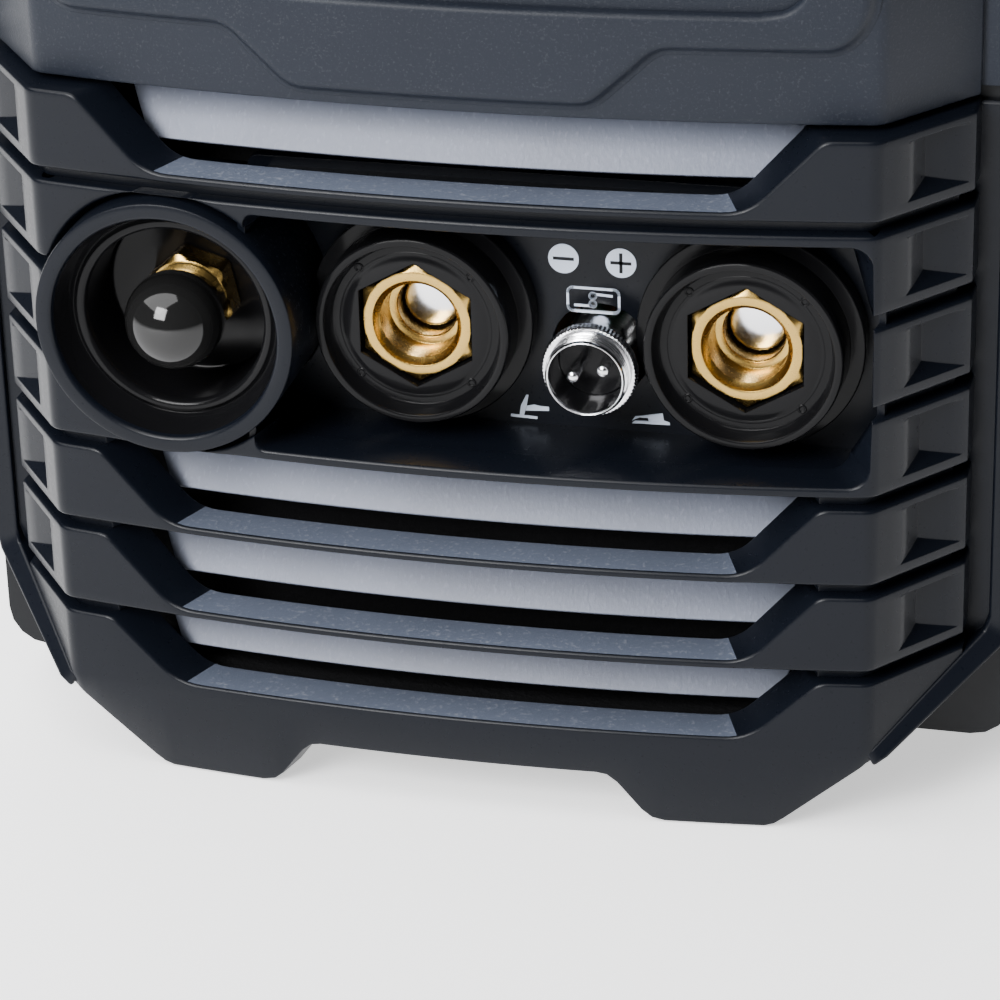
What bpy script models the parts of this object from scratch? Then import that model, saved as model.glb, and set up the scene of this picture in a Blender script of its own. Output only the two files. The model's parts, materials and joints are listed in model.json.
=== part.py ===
"""Portable inverter TIG welder, built from separate pieces.

World frame in metres: +X right, +Y from the front to the back, +Z up, origin on the floor under the middle.
Sizes below are millimetres. The helpers turn them into metres when a mesh is made.
"""

import math

import bmesh
import bpy
from mathutils import Matrix, Vector

MM = 0.001
GAP = 0.3

# Whole machine
LENGTH = 430.0
HALF_WIDTH = 91.0
CASE_BOTTOM = 8.3
CASE_TOP = 262.0
HEIGHT = 312.0
SHEET = 1.5

# Front, measured from the plane of the bezel's two upright front edges
KNOB_REACH = 15.0
FRONT = -LENGTH / 2 + KNOB_REACH
EDGE_HALF = 70.2
FACET_HALF = 83.3
FACET_RUN = 16.5
FACET_DEPTH = 21.0
BOW = 5.5
PLATE_FRONT = FRONT + 24.0
BEZEL_BACK = PLATE_FRONT - GAP
RIM_INNER = 87.0
RIM_FRONT = FRONT + 21.0

# Bars across the front
BAR_COUNT = 7
BAR_PITCH = 16.0
BAR_HEIGHT = 13.65
BAR_TOP = 125.0
GROOVE = 2.6
VENT_BARS = {0: 12.4, 4: 12.4, 5: 12.4, 6: 10.9}
VENT_TOP_HALF = 62.0
VENT_LOW_HALF = 50.0
LOUVRE_HALF = 58.0

# Connector recess
RECESS_LEFT, RECESS_RIGHT = -33.0, 69.6
RECESS_LOW, RECESS_HIGH = 65.0, 107.4
RECESS_ROUND = 4.0
RECESS_FLOOR = FRONT + 15.0
PANEL_THICK = 2.0
SOCKET_HEIGHT = 84.8
SOCKETS = {"negative": -7.6, "positive": 48.0}
SOCKET_FRONT = FRONT + 4.0
SOCKET_RIM, SOCKET_FLANGE = 16.5, 19.2
CONTROL_SOCKET = (22.0, 79.3)
SOCKET_FACE = FRONT + 7.0

# Gas outlet cup, left of the recess
CUP_CENTRE = (-47.3, 86.2)
CUP_OUTER, CUP_INNER, CUP_TAPER, CUP_STEP = 22.35, 19.4, 17.6, 15.4
CUP_FRONT = FRONT - 6.0
CUP_LEDGE = FRONT
CUP_FLOOR = FRONT + 13.0
OUTLET_NUT_TURN = math.radians(42.0)
CAP_RADIUS = 8.4

# Control head above the bars
HEAD_LOW = 127.3
HEAD_FRONT = 5.0
HEAD_FACET = 3.0
WELL_HALF = 60.0
WELL_LOW, WELL_HIGH = 146.0, 250.0
WELL_FLOOR = FRONT + 5.0
KNOB_HEIGHT = 182.0
KNOB_RADIUS = 18.0
BUTTONS = {"left_upper": (-43.0, 196.0), "left_lower": (-43.0, 168.0),
           "right_upper": (43.0, 196.0), "right_lower": (43.0, 168.0)}

# Rear
REAR_FACE = 192.0
REAR_FRONT = 172.0
REAR_REACH = LENGTH / 2
FAN_CENTRE = (18.0, 104.0)
FAN_SIZE = 92.0
FAN_BACK = 165.0
FAN_DEPTH = 25.0
BLADE_THICK = 1.8
SWITCH_PLACE = (48.0, 205.0)
ROCKER_SWING = 25.0
GLAND_PLACE = (-48.0, 205.0)
GAS_INLET = (-62.0, 40.0)
EARTH_PLACE = (64.0, 36.0)

COLOURS = {
    "charcoal": ((0.035, 0.038, 0.045), 0.45, 0.0),
    "charcoal_textured": ((0.07, 0.075, 0.085), 0.6, 0.0),
    "black_gloss": ((0.01, 0.01, 0.011), 0.15, 0.0),
    "black_rubber": ((0.012, 0.012, 0.012), 0.3, 0.0),
    "grey_louvre": ((0.25, 0.26, 0.29), 0.55, 0.0),
    "powder_coat": ((0.04, 0.043, 0.05), 0.5, 0.2),
    "brass": ((0.78, 0.55, 0.22), 0.25, 1.0),
    "steel": ((0.62, 0.62, 0.63), 0.3, 1.0),
    "chrome": ((0.85, 0.85, 0.86), 0.1, 1.0),
    "aluminium": ((0.65, 0.66, 0.67), 0.4, 1.0),
    "copper": ((0.7, 0.33, 0.18), 0.35, 1.0),
    "ferrite": ((0.05, 0.05, 0.052), 0.7, 0.0),
    "board_green": ((0.02, 0.12, 0.06), 0.4, 0.0),
    "display": ((0.005, 0.005, 0.007), 0.08, 0.0),
    "hose": ((0.02, 0.02, 0.022), 0.4, 0.0),
    "sleeve": ((0.03, 0.05, 0.09), 0.35, 0.0),
}


# ---------------------------------------------------------------- helpers

def clear_scene():
    for old in list(bpy.data.objects):
        bpy.data.objects.remove(old)


def material(kind):
    found = bpy.data.materials.get(kind)
    if found:
        return found
    colour, roughness, metallic = COLOURS[kind]
    made = bpy.data.materials.new(kind)
    made.use_nodes = True
    shader = made.node_tree.nodes["Principled BSDF"]
    shader.inputs["Base Color"].default_value = (*colour, 1.0)
    shader.inputs["Roughness"].default_value = roughness
    shader.inputs["Metallic"].default_value = metallic
    made.diffuse_color = (*colour, 1.0)
    return made


def finish_mesh(name, bm, kind, origin):
    """Turns a bmesh in millimetres into an object whose origin is at the given point."""
    bmesh.ops.remove_doubles(bm, verts=bm.verts, dist=0.0001)
    bmesh.ops.recalc_face_normals(bm, faces=bm.faces)
    bmesh.ops.translate(bm, vec=-Vector(origin), verts=bm.verts)
    bmesh.ops.scale(bm, vec=(MM, MM, MM), verts=bm.verts)
    mesh = bpy.data.meshes.new(name)
    bm.to_mesh(mesh)
    bm.free()
    mesh.shade_smooth()
    mesh.set_sharp_from_angle(angle=math.radians(30))
    made = bpy.data.objects.new(name, mesh)
    made.location = Vector(origin) * MM
    bpy.context.scene.collection.objects.link(made)
    if kind:
        mesh.materials.append(material(kind))
    return made


def loft(name, loops, kind=None, origin=(0, 0, 0), closed=False):
    """One closed body through loops with the same number of points; closed joins the last loop to the first."""
    bm = bmesh.new()
    rings = [[bm.verts.new(p) for p in loop] for loop in loops]
    count = len(rings[0])
    pairs = list(zip(rings, rings[1:]))
    if closed:
        pairs.append((rings[-1], rings[0]))
    for lower, upper in pairs:
        for i in range(count):
            j = (i + 1) % count
            bm.faces.new((lower[i], lower[j], upper[j], upper[i]))
    if not closed:
        bm.faces.new(rings[0][::-1])
        bm.faces.new(rings[-1])
    return finish_mesh(name, bm, kind, origin)


def on_axis(axis, across, along):
    """A point with two coordinates across the named axis and one along it."""
    a, b = across
    return {"X": (along, a, b), "Y": (a, along, b), "Z": (a, b, along)}[axis]


def prism(name, outline, axis, low, high, kind=None, origin=(0, 0, 0)):
    """An outline pushed along an axis from low to high."""
    return loft(name, [[on_axis(axis, p, level) for p in outline] for level in (low, high)], kind, origin)


def block(name, low, high, kind=None, origin=(0, 0, 0)):
    (x0, y0, z0), (x1, y1, z1) = low, high
    return prism(name, [(x0, y0), (x1, y0), (x1, y1), (x0, y1)], "Z", z0, z1, kind, origin)


def circle(centre, radius, steps=32, turn=0.0):
    return [(centre[0] + radius * math.cos(2 * math.pi * i / steps + turn),
             centre[1] + radius * math.sin(2 * math.pi * i / steps + turn)) for i in range(steps)]


def lathe(name, profile, centre, kind=None, axis="Y", steps=32, closed=False, origin=(0, 0, 0), turn=0.0):
    """Turns (along, radius) points about an axis. closed is for a ring, whose profile comes back to its start."""
    loops = [[on_axis(axis, p, along) for p in circle(centre, radius, steps, turn)] for along, radius in profile]
    return loft(name, loops, kind, origin, closed)


def rounded(x0, z0, x1, z1, radius, steps=4):
    """A rectangle with round corners, counter-clockwise."""
    corners = [(x1 - radius, z0 + radius, -90), (x1 - radius, z1 - radius, 0),
               (x0 + radius, z1 - radius, 90), (x0 + radius, z0 + radius, 180)]
    return [(cx + radius * math.cos(math.radians(start + 90 * i / steps)),
             cz + radius * math.sin(math.radians(start + 90 * i / steps)))
            for cx, cz, start in corners for i in range(steps + 1)]


def hexagon(centre, across_flats, point_up=True):
    return circle(centre, across_flats / math.sqrt(3), 6, math.pi / 2 if point_up else 0.0)


def mirrored(half):
    """A left-right symmetric outline from its right half."""
    return half + [(-x, z) for x, z in reversed(half)]


def boolean(target, tool, operation="DIFFERENCE"):
    """Cuts, joins or keeps the overlap with a tool, which stays in the scene as a wire guide."""
    tool.hide_render = True
    tool.display_type = "WIRE"
    step = target.modifiers.new(operation.lower() + "_" + tool.name, "BOOLEAN")
    step.operation = operation
    step.solver = "EXACT"
    step.object = tool


def cut(target, *tools):
    for tool in tools:
        boolean(target, tool)


def join(target, *tools):
    for tool in tools:
        boolean(target, tool, "UNION")


# ---------------------------------------------------------------- front

def plan(front_gap, facet_gap, back, half=FACET_HALF, steps=14):
    """Top view of the front: a bowed middle, a facet at each side and straight sides back to the rear."""
    slope = FACET_RUN / FACET_DEPTH
    length = math.hypot(FACET_RUN, FACET_DEPTH)
    shift = facet_gap * length / FACET_DEPTH
    edge = EDGE_HALF + front_gap * slope - shift
    facet_end = FRONT + (half - EDGE_HALF + shift) / slope
    bow = []
    for i in range(steps + 1):
        x = edge * (1 - 2 * i / steps)
        bow.append((x, FRONT + front_gap - BOW * (1 - (x / edge) ** 2)))
    return [(half, back), (half, facet_end)] + bow + [(-half, facet_end), (-half, back)]


def bar_levels():
    """Heights and outlines of the bars and of the grooves between them, from the bottom up."""
    bar = plan(0, 0, BEZEL_BACK)
    groove = plan(GROOVE, GROOVE, BEZEL_BACK, FACET_HALF - 2)
    levels = [(0.0, bar)]
    for k in reversed(range(BAR_COUNT)):
        top = BAR_TOP - BAR_PITCH * k
        if k < BAR_COUNT - 1:
            levels += [(top - BAR_HEIGHT, groove), (top - BAR_HEIGHT, bar)]
        levels += [(top, bar)]
        if k:
            levels += [(top, groove)]
    return levels


def front_silhouette(half_width, corner, top):
    """Front view of the bezel: two feet, a raised middle and a slanted lower corner at each side."""
    return mirrored([(0, 9.25), (25.2, 9.25), (29.0, 6.5), (33.5, 1.2), (36.4, 0), (53.6, 0), (56.6, 1.6),
                     (72.0, 15.2), (half_width, corner), (half_width, top), (0, top)])


def vent_outline(top, depth):
    """Front view of one vent: wide at the bar's top, narrow at the sill."""
    low = top - depth
    return [(-VENT_LOW_HALF, low), (VENT_LOW_HALF, low), (VENT_TOP_HALF, top + 0.5), (VENT_TOP_HALF, top + 4.0),
            (-VENT_TOP_HALF, top + 4.0), (-VENT_TOP_HALF, top + 0.5)]


def facet_pocket(side, top):
    """The wedge that is cut from a bar's slanted end."""
    run = Vector((FACET_RUN, FACET_DEPTH, 0)).normalized()
    inward = Vector((-FACET_DEPTH, FACET_RUN, 0)).normalized()
    start = Vector((EDGE_HALF, FRONT, 0))
    low = top - BAR_HEIGHT + 2.2
    high = top - 1.4

    def place(along, deep, z):
        p = start + run * along + inward * deep
        return (side * p.x, p.y, z)

    outer = [place(5.0, -2.0, low - 1.6), place(24.0, -2.0, low - 1.6), place(24.0, -2.0, high), place(5.0, -2.0, high)]
    inner = [place(8.5, 2.6, low + 2.8), place(24.0, 2.6, low + 2.8), place(24.0, 2.6, high), place(8.5, 2.6, high)]
    if side < 0:
        outer, inner = outer[::-1], inner[::-1]
    return outer, inner


def make_front_bezel():
    bars = loft("front_bezel", [[(x, y, z) for x, y in outline] for z, outline in bar_levels()], "charcoal")
    outline = front_silhouette(HALF_WIDTH, 29.2, BAR_TOP)
    back = prism("bezel_back_tool", outline, "Y", FRONT + 22.4, BEZEL_BACK)
    rim = prism("bezel_rim_tool", outline, "Y", RIM_FRONT, BEZEL_BACK)
    inner = [(0, -5), (RIM_INNER - 20, -5), (RIM_INNER, 31.0), (RIM_INNER, BAR_TOP + 5)]
    cut(rim, prism("rim_inside_tool", mirrored(inner), "Y", RIM_FRONT - 5, BEZEL_BACK + 5))
    join(bars, back, rim)
    boolean(bars, prism("silhouette_tool", front_silhouette(HALF_WIDTH + 1, 30.0, BAR_TOP + 5), "Y", FRONT - 20,
                        BEZEL_BACK + 5), "INTERSECT")
    for k, depth in VENT_BARS.items():
        cut(bars, prism(f"vent_{k}_tool", vent_outline(BAR_TOP - BAR_PITCH * k, depth), "Y",
                        FRONT - 20, FRONT + 9.5))
    cut(bars, prism("recess_tool", rounded(RECESS_LEFT, RECESS_LOW, RECESS_RIGHT, RECESS_HIGH, RECESS_ROUND), "Y",
                    FRONT - 20, FRONT + 18))
    cut(bars, block("hollow_tool", (-78, RECESS_FLOOR - GAP, 13), (78, BEZEL_BACK + 5, 121.5)),
        block("lower_air_tool", (-64, FRONT + 9, 13), (64, RECESS_FLOOR + 5, 60.5)),
        block("upper_air_tool", (-64, FRONT + 9, 110.4), (64, BEZEL_BACK + 5, BAR_TOP + 5)))
    cup = lathe("cup_tool", [(CUP_FRONT, CUP_OUTER - 0.8), (CUP_FRONT + 0.8, CUP_OUTER), (BEZEL_BACK - 2, CUP_OUTER)],
                CUP_CENTRE, steps=40)
    join(bars, cup)
    hole = [(CUP_FRONT - 5, CUP_INNER), (CUP_FRONT, CUP_INNER), (CUP_LEDGE, CUP_TAPER), (CUP_LEDGE, CUP_STEP),
            (CUP_FLOOR, CUP_STEP), (CUP_FLOOR, 6.5), (BEZEL_BACK + 5, 6.5)]
    cut(bars, lathe("cup_hole_tool", hole, CUP_CENTRE, steps=40))
    for side in (-1, 1):
        for k in range(BAR_COUNT - 1):
            outer, inner = facet_pocket(side, BAR_TOP - BAR_PITCH * k)
            cut(bars, loft(f"pocket_{k}_{'right' if side > 0 else 'left'}_tool", [outer, inner]))
    return bars


def louvre(name, sill):
    """A slanted plate behind a vent that turns the air upwards."""
    low, high = sill + 1.6, sill + 12.4
    front, back, thick = FRONT + 10.3, FRONT + 17.0, 1.5
    narrow, wide = 52.5, LOUVRE_HALF
    return loft(name, [
        [(-narrow, front, low), (narrow, front, low), (wide, back, high), (-wide, back, high)],
        [(-narrow, front + thick, low - 0.5), (narrow, front + thick, low - 0.5),
         (wide, back + thick, high - 0.5), (-wide, back + thick, high - 0.5)]], "grey_louvre")


def make_louvres():
    sills = {k: BAR_TOP - BAR_PITCH * k - depth for k, depth in VENT_BARS.items()}
    louvre("upper_louvre", sills[0])
    lower = louvre("lower_louvre", sills[6])
    for k in (4, 5):
        join(lower, louvre(f"louvre_{k}_tool", sills[k]))
    for side in (-1, 1):
        x0, x1 = sorted((side * (LOUVRE_HALF - 2.0), side * (LOUVRE_HALF + 4.0)))
        join(lower, block(f"louvre_rail_{side + 1}_tool", (x0, FRONT + 15.5, 17.0), (x1, FRONT + 20.0, 61.0)))


def make_connector_panel():
    outline = rounded(-38.0, 61.4, 76.0, 110.0, 2.0)
    panel = prism("connector_panel", outline, "Y", RECESS_FLOOR, RECESS_FLOOR + PANEL_THICK, "charcoal")
    cut(panel, prism("cup_clearance_tool", circle(CUP_CENTRE, CUP_OUTER + GAP, 40), "Y",
                     RECESS_FLOOR - 5, RECESS_FLOOR + 9))
    for word, x in SOCKETS.items():
        cut(panel, prism(f"{word}_hole_tool", circle((x, SOCKET_HEIGHT), 14.6), "Y", RECESS_FLOOR - 5, RECESS_FLOOR + 9))
    cut(panel, prism("control_hole_tool", circle(CONTROL_SOCKET, 8.4, 24), "Y", RECESS_FLOOR - 5, RECESS_FLOOR + 9))


def make_power_socket(word, x):
    """A panel socket for a twist-lock welding plug: housing, brass contact, its screw and the ring nut behind."""
    centre = (x, SOCKET_HEIGHT)
    floor = RECESS_FLOOR - GAP
    rim, flange = SOCKET_RIM, SOCKET_FLANGE
    profile = [(SOCKET_FRONT, rim - 1.4), (SOCKET_FRONT, rim - 0.4), (SOCKET_FRONT + 0.6, rim), (floor - 4, rim),
               (floor - 4, flange), (floor, flange), (floor, 14.2), (FRONT + 34, 14.2), (FRONT + 34, 11.2),
               (SOCKET_FACE, 11.2), (SOCKET_FACE, 14.8)]
    housing = lathe(f"{word}_socket_housing", profile, centre, "black_gloss", closed=True)
    flat = {"negative": 16.95, "positive": 16.7}[word]
    cut(housing, block(f"{word}_flat_tool", (x - 30, RECESS_FLOOR - 6, SOCKET_HEIGHT - 30),
                       (x - flat, RECESS_FLOOR + 1, SOCKET_HEIGHT + 30)))
    inside = lathe(f"{word}_core_tool", [(SOCKET_FACE + 0.2, 11.8), (FRONT + 33.8, 11.8)], centre)
    cut(inside, prism(f"{word}_hex_tool", hexagon(centre, 18.6), "Y", FRONT, FRONT + 45))
    join(housing, inside)

    contact = prism(f"{word}_socket_contact", hexagon(centre, 17.9), "Y", SOCKET_FACE + 0.6, FRONT + 42, "brass")
    turned = [(SOCKET_FACE + 0.4, 8.6), (SOCKET_FACE + 2.2, 12.0), (FRONT + 50, 12.0)]
    boolean(contact, lathe(f"{word}_turned_tool", turned, centre), "INTERSECT")
    bore = [(FRONT, 7.4), (SOCKET_FACE + 0.7, 7.4), (SOCKET_FACE + 1.6, 6.6), (FRONT + 14.5, 6.6),
            (FRONT + 14.5, 5.2), (FRONT + 21.5, 5.2)]
    cut(contact, lathe(f"{word}_bore_tool", bore, centre, steps=32))

    screw = lathe(f"{word}_socket_screw", [(FRONT + 18.0, 3.8), (FRONT + 18.5, 4.5), (FRONT + 21.5 - GAP, 4.5)], centre,
                  "steel", steps=24)
    cut(screw, prism(f"{word}_key_tool", hexagon(centre, 4.0), "Y", FRONT + 16, FRONT + 20))

    nut_front = RECESS_FLOOR + PANEL_THICK + GAP
    nut = prism(f"{word}_socket_nut", hexagon(centre, 34.0), "Y", nut_front, nut_front + 5, "black_gloss")
    cut(nut, prism(f"{word}_nut_hole_tool", circle(centre, 14.5), "Y", nut_front - 5, nut_front + 15))


def make_control_socket():
    """The small round two-pin socket for the torch's trigger lead."""
    floor = RECESS_FLOOR - GAP
    profile = [(FRONT + 3.0, 6.0), (FRONT + 3.0, 6.8), (FRONT + 3.6, 7.3), (FRONT + 6.0, 7.3), (FRONT + 6.0, 8.0),
               (floor - 2.0, 8.0), (floor - 2.0, 9.0), (floor, 9.0), (floor, 7.9), (FRONT + 26, 7.9),
               (FRONT + 26, 6.0)]
    lathe("control_socket_shell", profile, CONTROL_SOCKET, "chrome", closed=True)
    lathe("control_socket_insert", [(FRONT + 10.0, 5.7), (FRONT + 24.0, 5.7)], CONTROL_SOCKET, "black_gloss", steps=24)
    for word, side in (("left", -1), ("right", 1)):
        pin_centre = (CONTROL_SOCKET[0] + side * 2.4, CONTROL_SOCKET[1])
        tip = [(FRONT + 4.6, 0.5), (FRONT + 5.2, 1.1), (FRONT + 10.0 - GAP, 1.1)]
        lathe(f"control_socket_pin_{word}", tip, pin_centre, "chrome", steps=12)


def make_gas_outlet():
    """The brass gas fitting in its cup, and the rubber cap that pulls off it."""
    centre = CUP_CENTRE
    nose = [(FRONT + 1.0, 3.4), (FRONT + 2.0, 4.4), (FRONT + 41, 4.4)]
    fitting = lathe("gas_outlet_fitting", nose, centre, "brass", steps=24)
    nut_front = CUP_FLOOR - 5.5
    nut = circle(centre, 14.0 / math.sqrt(3), 6, OUTLET_NUT_TURN)
    join(fitting, prism("outlet_nut_tool", nut, "Y", nut_front, CUP_FLOOR - GAP))
    cut(fitting, lathe("outlet_bore_tool", [(FRONT - 5, 1.6), (FRONT + 50, 1.6)], centre, steps=12))

    mouth = nut_front - GAP
    dome = [(CUP_FRONT + CAP_RADIUS * (1 - math.cos(a)), CAP_RADIUS * math.sin(a))
            for a in (math.radians(18 * i) for i in range(1, 7))]
    outside = dome + [(mouth - 2.0, 7.4), (mouth, 7.4)]
    cap = lathe("gas_outlet_cap", outside, centre, "black_rubber", steps=24, origin=(centre[0], mouth, centre[1]))
    cut(cap, lathe("cap_bore_tool", [(FRONT + 0.4, 4.7), (mouth + 5, 4.7)], centre, steps=24))


# ---------------------------------------------------------------- control head

def make_control_housing():
    levels = [(HEAD_LOW, 0.9), (HEAD_LOW + 1.2, 0.0), (CASE_TOP - 10.0, 0.0), (CASE_TOP - 3.0, 2.2), (CASE_TOP, 6.0)]
    loops = [[(x, y, z) for x, y in plan(HEAD_FRONT + extra, HEAD_FACET + extra, BEZEL_BACK,
                                          FACET_HALF - 1.2 * extra)] for z, extra in levels]
    housing = loft("control_housing", loops, "charcoal_textured")
    wings = prism("head_wing_tool", mirrored([(0, HEAD_LOW), (HALF_WIDTH, HEAD_LOW), (HALF_WIDTH, CASE_TOP - 6),
                                              (HALF_WIDTH - 6, CASE_TOP)]), "Y", RIM_FRONT + 1.2, BEZEL_BACK)
    join(housing, wings)
    cut(housing, prism("well_tool", rounded(-WELL_HALF, WELL_LOW, WELL_HALF, WELL_HIGH, 6.0), "Y", FRONT - 20,
                       WELL_FLOOR))
    cut(housing, block("head_hollow_tool", (-66, FRONT + 9, 133), (66, BEZEL_BACK + 5, 256)))
    for word, (x, z) in BUTTONS.items():
        cut(housing, block(f"button_{word}_tool", (x - 6.6, FRONT, z - 4.6), (x + 6.6, FRONT + 14, z + 4.6)))
    cut(housing, prism("bush_tool", circle((0, KNOB_HEIGHT), 4.2, 20), "Y", FRONT, FRONT + 14))
    cut(housing, block("display_tool", (-30, FRONT, 214), (30, FRONT + 14, 238)))


def make_control_overlay():
    front = WELL_FLOOR - GAP - 0.9
    overlay = prism("control_overlay", rounded(-59, 147, 59, 249, 5.0), "Y", front, WELL_FLOOR - GAP, "black_gloss")
    for word, (x, z) in BUTTONS.items():
        cut(overlay, block(f"overlay_{word}_tool", (x - 6.6, FRONT, z - 4.6), (x + 6.6, FRONT + 14, z + 4.6)))
    cut(overlay, prism("overlay_bush_tool", circle((0, KNOB_HEIGHT), 4.2, 20), "Y", FRONT, FRONT + 14))
    prism("display_window", rounded(-32, 212, 32, 240, 2.5), "Y", front - GAP - 1.0, front - GAP, "display")


def make_control_board():
    board = block("control_board", (-60, FRONT + 19.0, 142), (60, FRONT + 20.6, 248), "board_green")
    join(board, block("display_module_tool", (-28, FRONT + 10.0, 216), (28, FRONT + 19.5, 236)),
         block("chip_tool", (-20, FRONT + 16.5, 148), (20, FRONT + 19.5, 158)))


def make_encoder():
    """Rotary encoder behind the knob: fixed body, sprung plunger, shaft and the knob on it."""
    centre = (0, KNOB_HEIGHT)
    body = block("encoder_body", (-6.5, FRONT + 10.0, KNOB_HEIGHT - 6.5), (6.5, FRONT + 19.0 - GAP, KNOB_HEIGHT + 6.5),
                 "steel")
    join(body, lathe("bush_outer_tool", [(FRONT + 1.2, 3.9), (FRONT + 11, 3.9)], centre, steps=20))
    cut(body, lathe("shaft_hole_tool", [(FRONT - 5, 3.1), (FRONT + 12.5, 3.1)], centre, steps=20),
        lathe("plunger_hole_tool", [(FRONT + 12.4, 4.4), (FRONT + 17.4, 4.4)], centre, steps=20))
    pivot = (0, FRONT + 12.0, KNOB_HEIGHT)
    lathe("encoder_plunger", [(FRONT + 12.8, 4.0), (FRONT + 15.2, 4.0), (FRONT + 15.2, 1.6), (FRONT + 16.2, 1.6)],
          centre, "steel", steps=20, origin=pivot)
    lathe("encoder_shaft", [(FRONT - 9.0, 2.6), (FRONT - 8.6, 3.0), (FRONT + 12.5, 3.0)], centre, "steel", steps=20,
          origin=pivot)
    skirt, face = FRONT + 0.4, -LENGTH / 2
    knob = lathe("control_knob", [(face, 13.6), (face + 1.6, 15.2), (skirt - 3, 16.4), (skirt - 2.6, KNOB_RADIUS),
                                  (skirt, KNOB_RADIUS)], centre, "black_gloss", steps=36, origin=pivot)
    cut(knob, lathe("knob_bore_tool", [(FRONT - 9.4, 3.2), (skirt + 5, 3.2)], centre, steps=20),
        lathe("knob_inside_tool", [(skirt - 3.0, 12.0), (skirt + 5, 12.0)], centre, steps=24))


def make_buttons():
    for word, (x, z) in BUTTONS.items():
        face = FRONT + 1.6
        cap = prism(f"button_{word}", rounded(x - 6.3, z - 4.3, x + 6.3, z + 4.3, 1.6), "Y", face, FRONT + 8.6,
                    "charcoal_textured", (x, FRONT + 8.6, z))
        join(cap, block(f"button_{word}_stem_tool", (x - 2.0, FRONT + 8.0, z - 2.0), (x + 2.0, FRONT + 16.5, z + 2.0)),
             block(f"button_{word}_foot_tool", (x - 8.0, FRONT + 10.2, z - 5.6), (x + 8.0, FRONT + 11.4, z + 5.6)))


# ---------------------------------------------------------------- case

def make_front_plate():
    plate = prism("front_plate", rounded(-HALF_WIDTH, CASE_BOTTOM, HALF_WIDTH, CASE_TOP, 7.0), "Y", PLATE_FRONT,
                  PLATE_FRONT + SHEET, "powder_coat")
    windows = {"lower_air": (-60, 16, 60, 58), "connector": (-72, 61, 78, 112), "head": (-66, 118, 66, 254)}
    for word, (x0, z0, x1, z1) in windows.items():
        cut(plate, prism(f"plate_{word}_tool", rounded(x0, z0, x1, z1, 4.0), "Y", PLATE_FRONT - 5, PLATE_FRONT + 9))


def channel(low, high, radius, roof):
    """Front view of a folded sheet in one closed outline: a floor with two sides, or upside down as a roof."""
    half = HALF_WIDTH
    outside, inside = [], []
    for wall, points, bend in ((0.0, outside, radius), (SHEET, inside, radius - SHEET)):
        for i in range(5):
            a = math.radians(90 * i / 4)
            points.append((half - wall - bend + bend * math.sin(a), low + wall + bend - bend * math.cos(a)))
        points.append((half - wall, high))
    outline = [(-x, z) for x, z in outside[::-1]] + outside + inside[::-1] + [(-x, z) for x, z in inside]
    return [(x, low + high - z) for x, z in outline] if roof else outline


def make_case():
    back = REAR_FRONT - GAP
    front = PLATE_FRONT + SHEET + GAP
    prism("base_tray", channel(CASE_BOTTOM, 40.0, 7.0, False), "Y", front, back, "powder_coat")
    cover = prism("top_cover", channel(40.0 + GAP, CASE_TOP, 10.0, True), "Y", front, back, "powder_coat")
    for row in range(7):
        z = 64 + 10 * row
        cut(cover, prism(f"side_slot_{row}_tool", [(-100, z), (100, z), (100, z + 4), (-100, z + 4)], "Y", -140, -70),
            prism(f"rear_slot_{row}_tool", [(-100, z), (100, z), (100, z + 4), (-100, z + 4)], "Y", 40, 110))


def make_handle():
    """One moulded carrying handle along the top."""
    foot, top, low = 130.0, HEIGHT, CASE_TOP + GAP
    grip_under = HEIGHT - 20
    outside = [(-foot, low), (-foot, low + 6), (-foot + 26, top - 6), (-foot + 36, top)]
    inside = [(-foot + 34, low), (-foot + 40, low + 8), (-foot + 52, grip_under - 3), (-foot + 60, grip_under)]
    outline = outside + [(-y, z) for y, z in outside[::-1]]
    outline += [(-y, z) for y, z in inside] + inside[::-1]
    handle = prism("carry_handle", outline, "X", -16, 16, "charcoal")
    edge = handle.modifiers.new("edges", "BEVEL")
    edge.width = 4 * MM
    edge.segments = 2
    edge.limit_method = "ANGLE"
    edge.angle_limit = math.radians(60)


# ---------------------------------------------------------------- rear

def rear_outline():
    return mirrored([(0, 9.25), (25.2, 9.25), (36.4, 0), (55.7, 0), (72, 15.2), (HALF_WIDTH, 29.2),
                     (HALF_WIDTH, CASE_TOP - 8), (HALF_WIDTH - 8, CASE_TOP)])


def make_rear_bezel():
    bezel = prism("rear_bezel", rear_outline(), "Y", REAR_FRONT, REAR_FACE, "charcoal")
    inner = rounded(-HALF_WIDTH + 5, 22, HALF_WIDTH - 5, CASE_TOP - 7, 6)
    cut(bezel, prism("rear_dish_tool", rounded(-HALF_WIDTH + 7, 24, HALF_WIDTH - 7, CASE_TOP - 9, 8), "Y",
                     REAR_FACE - 5, REAR_FACE + 5),
        prism("rear_hollow_tool", inner, "Y", REAR_FRONT - 5, REAR_FACE - 8.5),
        prism("fan_hole_tool", circle(FAN_CENTRE, 43.0, 40), "Y", REAR_FRONT - 5, REAR_FACE + 5),
        block("switch_hole_tool", (SWITCH_PLACE[0] - 13.4, REAR_FRONT - 5, SWITCH_PLACE[1] - 10.4),
              (SWITCH_PLACE[0] + 13.4, REAR_FACE + 5, SWITCH_PLACE[1] + 10.4)),
        prism("gland_hole_tool", circle(GLAND_PLACE, 10.3, 24), "Y", REAR_FRONT - 5, REAR_FACE + 5),
        prism("gas_hole_tool", circle(GAS_INLET, 6.9, 20), "Y", REAR_FRONT - 5, REAR_FACE + 5),
        prism("earth_hole_tool", circle(EARTH_PLACE, 3.4, 16), "Y", REAR_FRONT - 5, REAR_FACE + 5))


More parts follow.
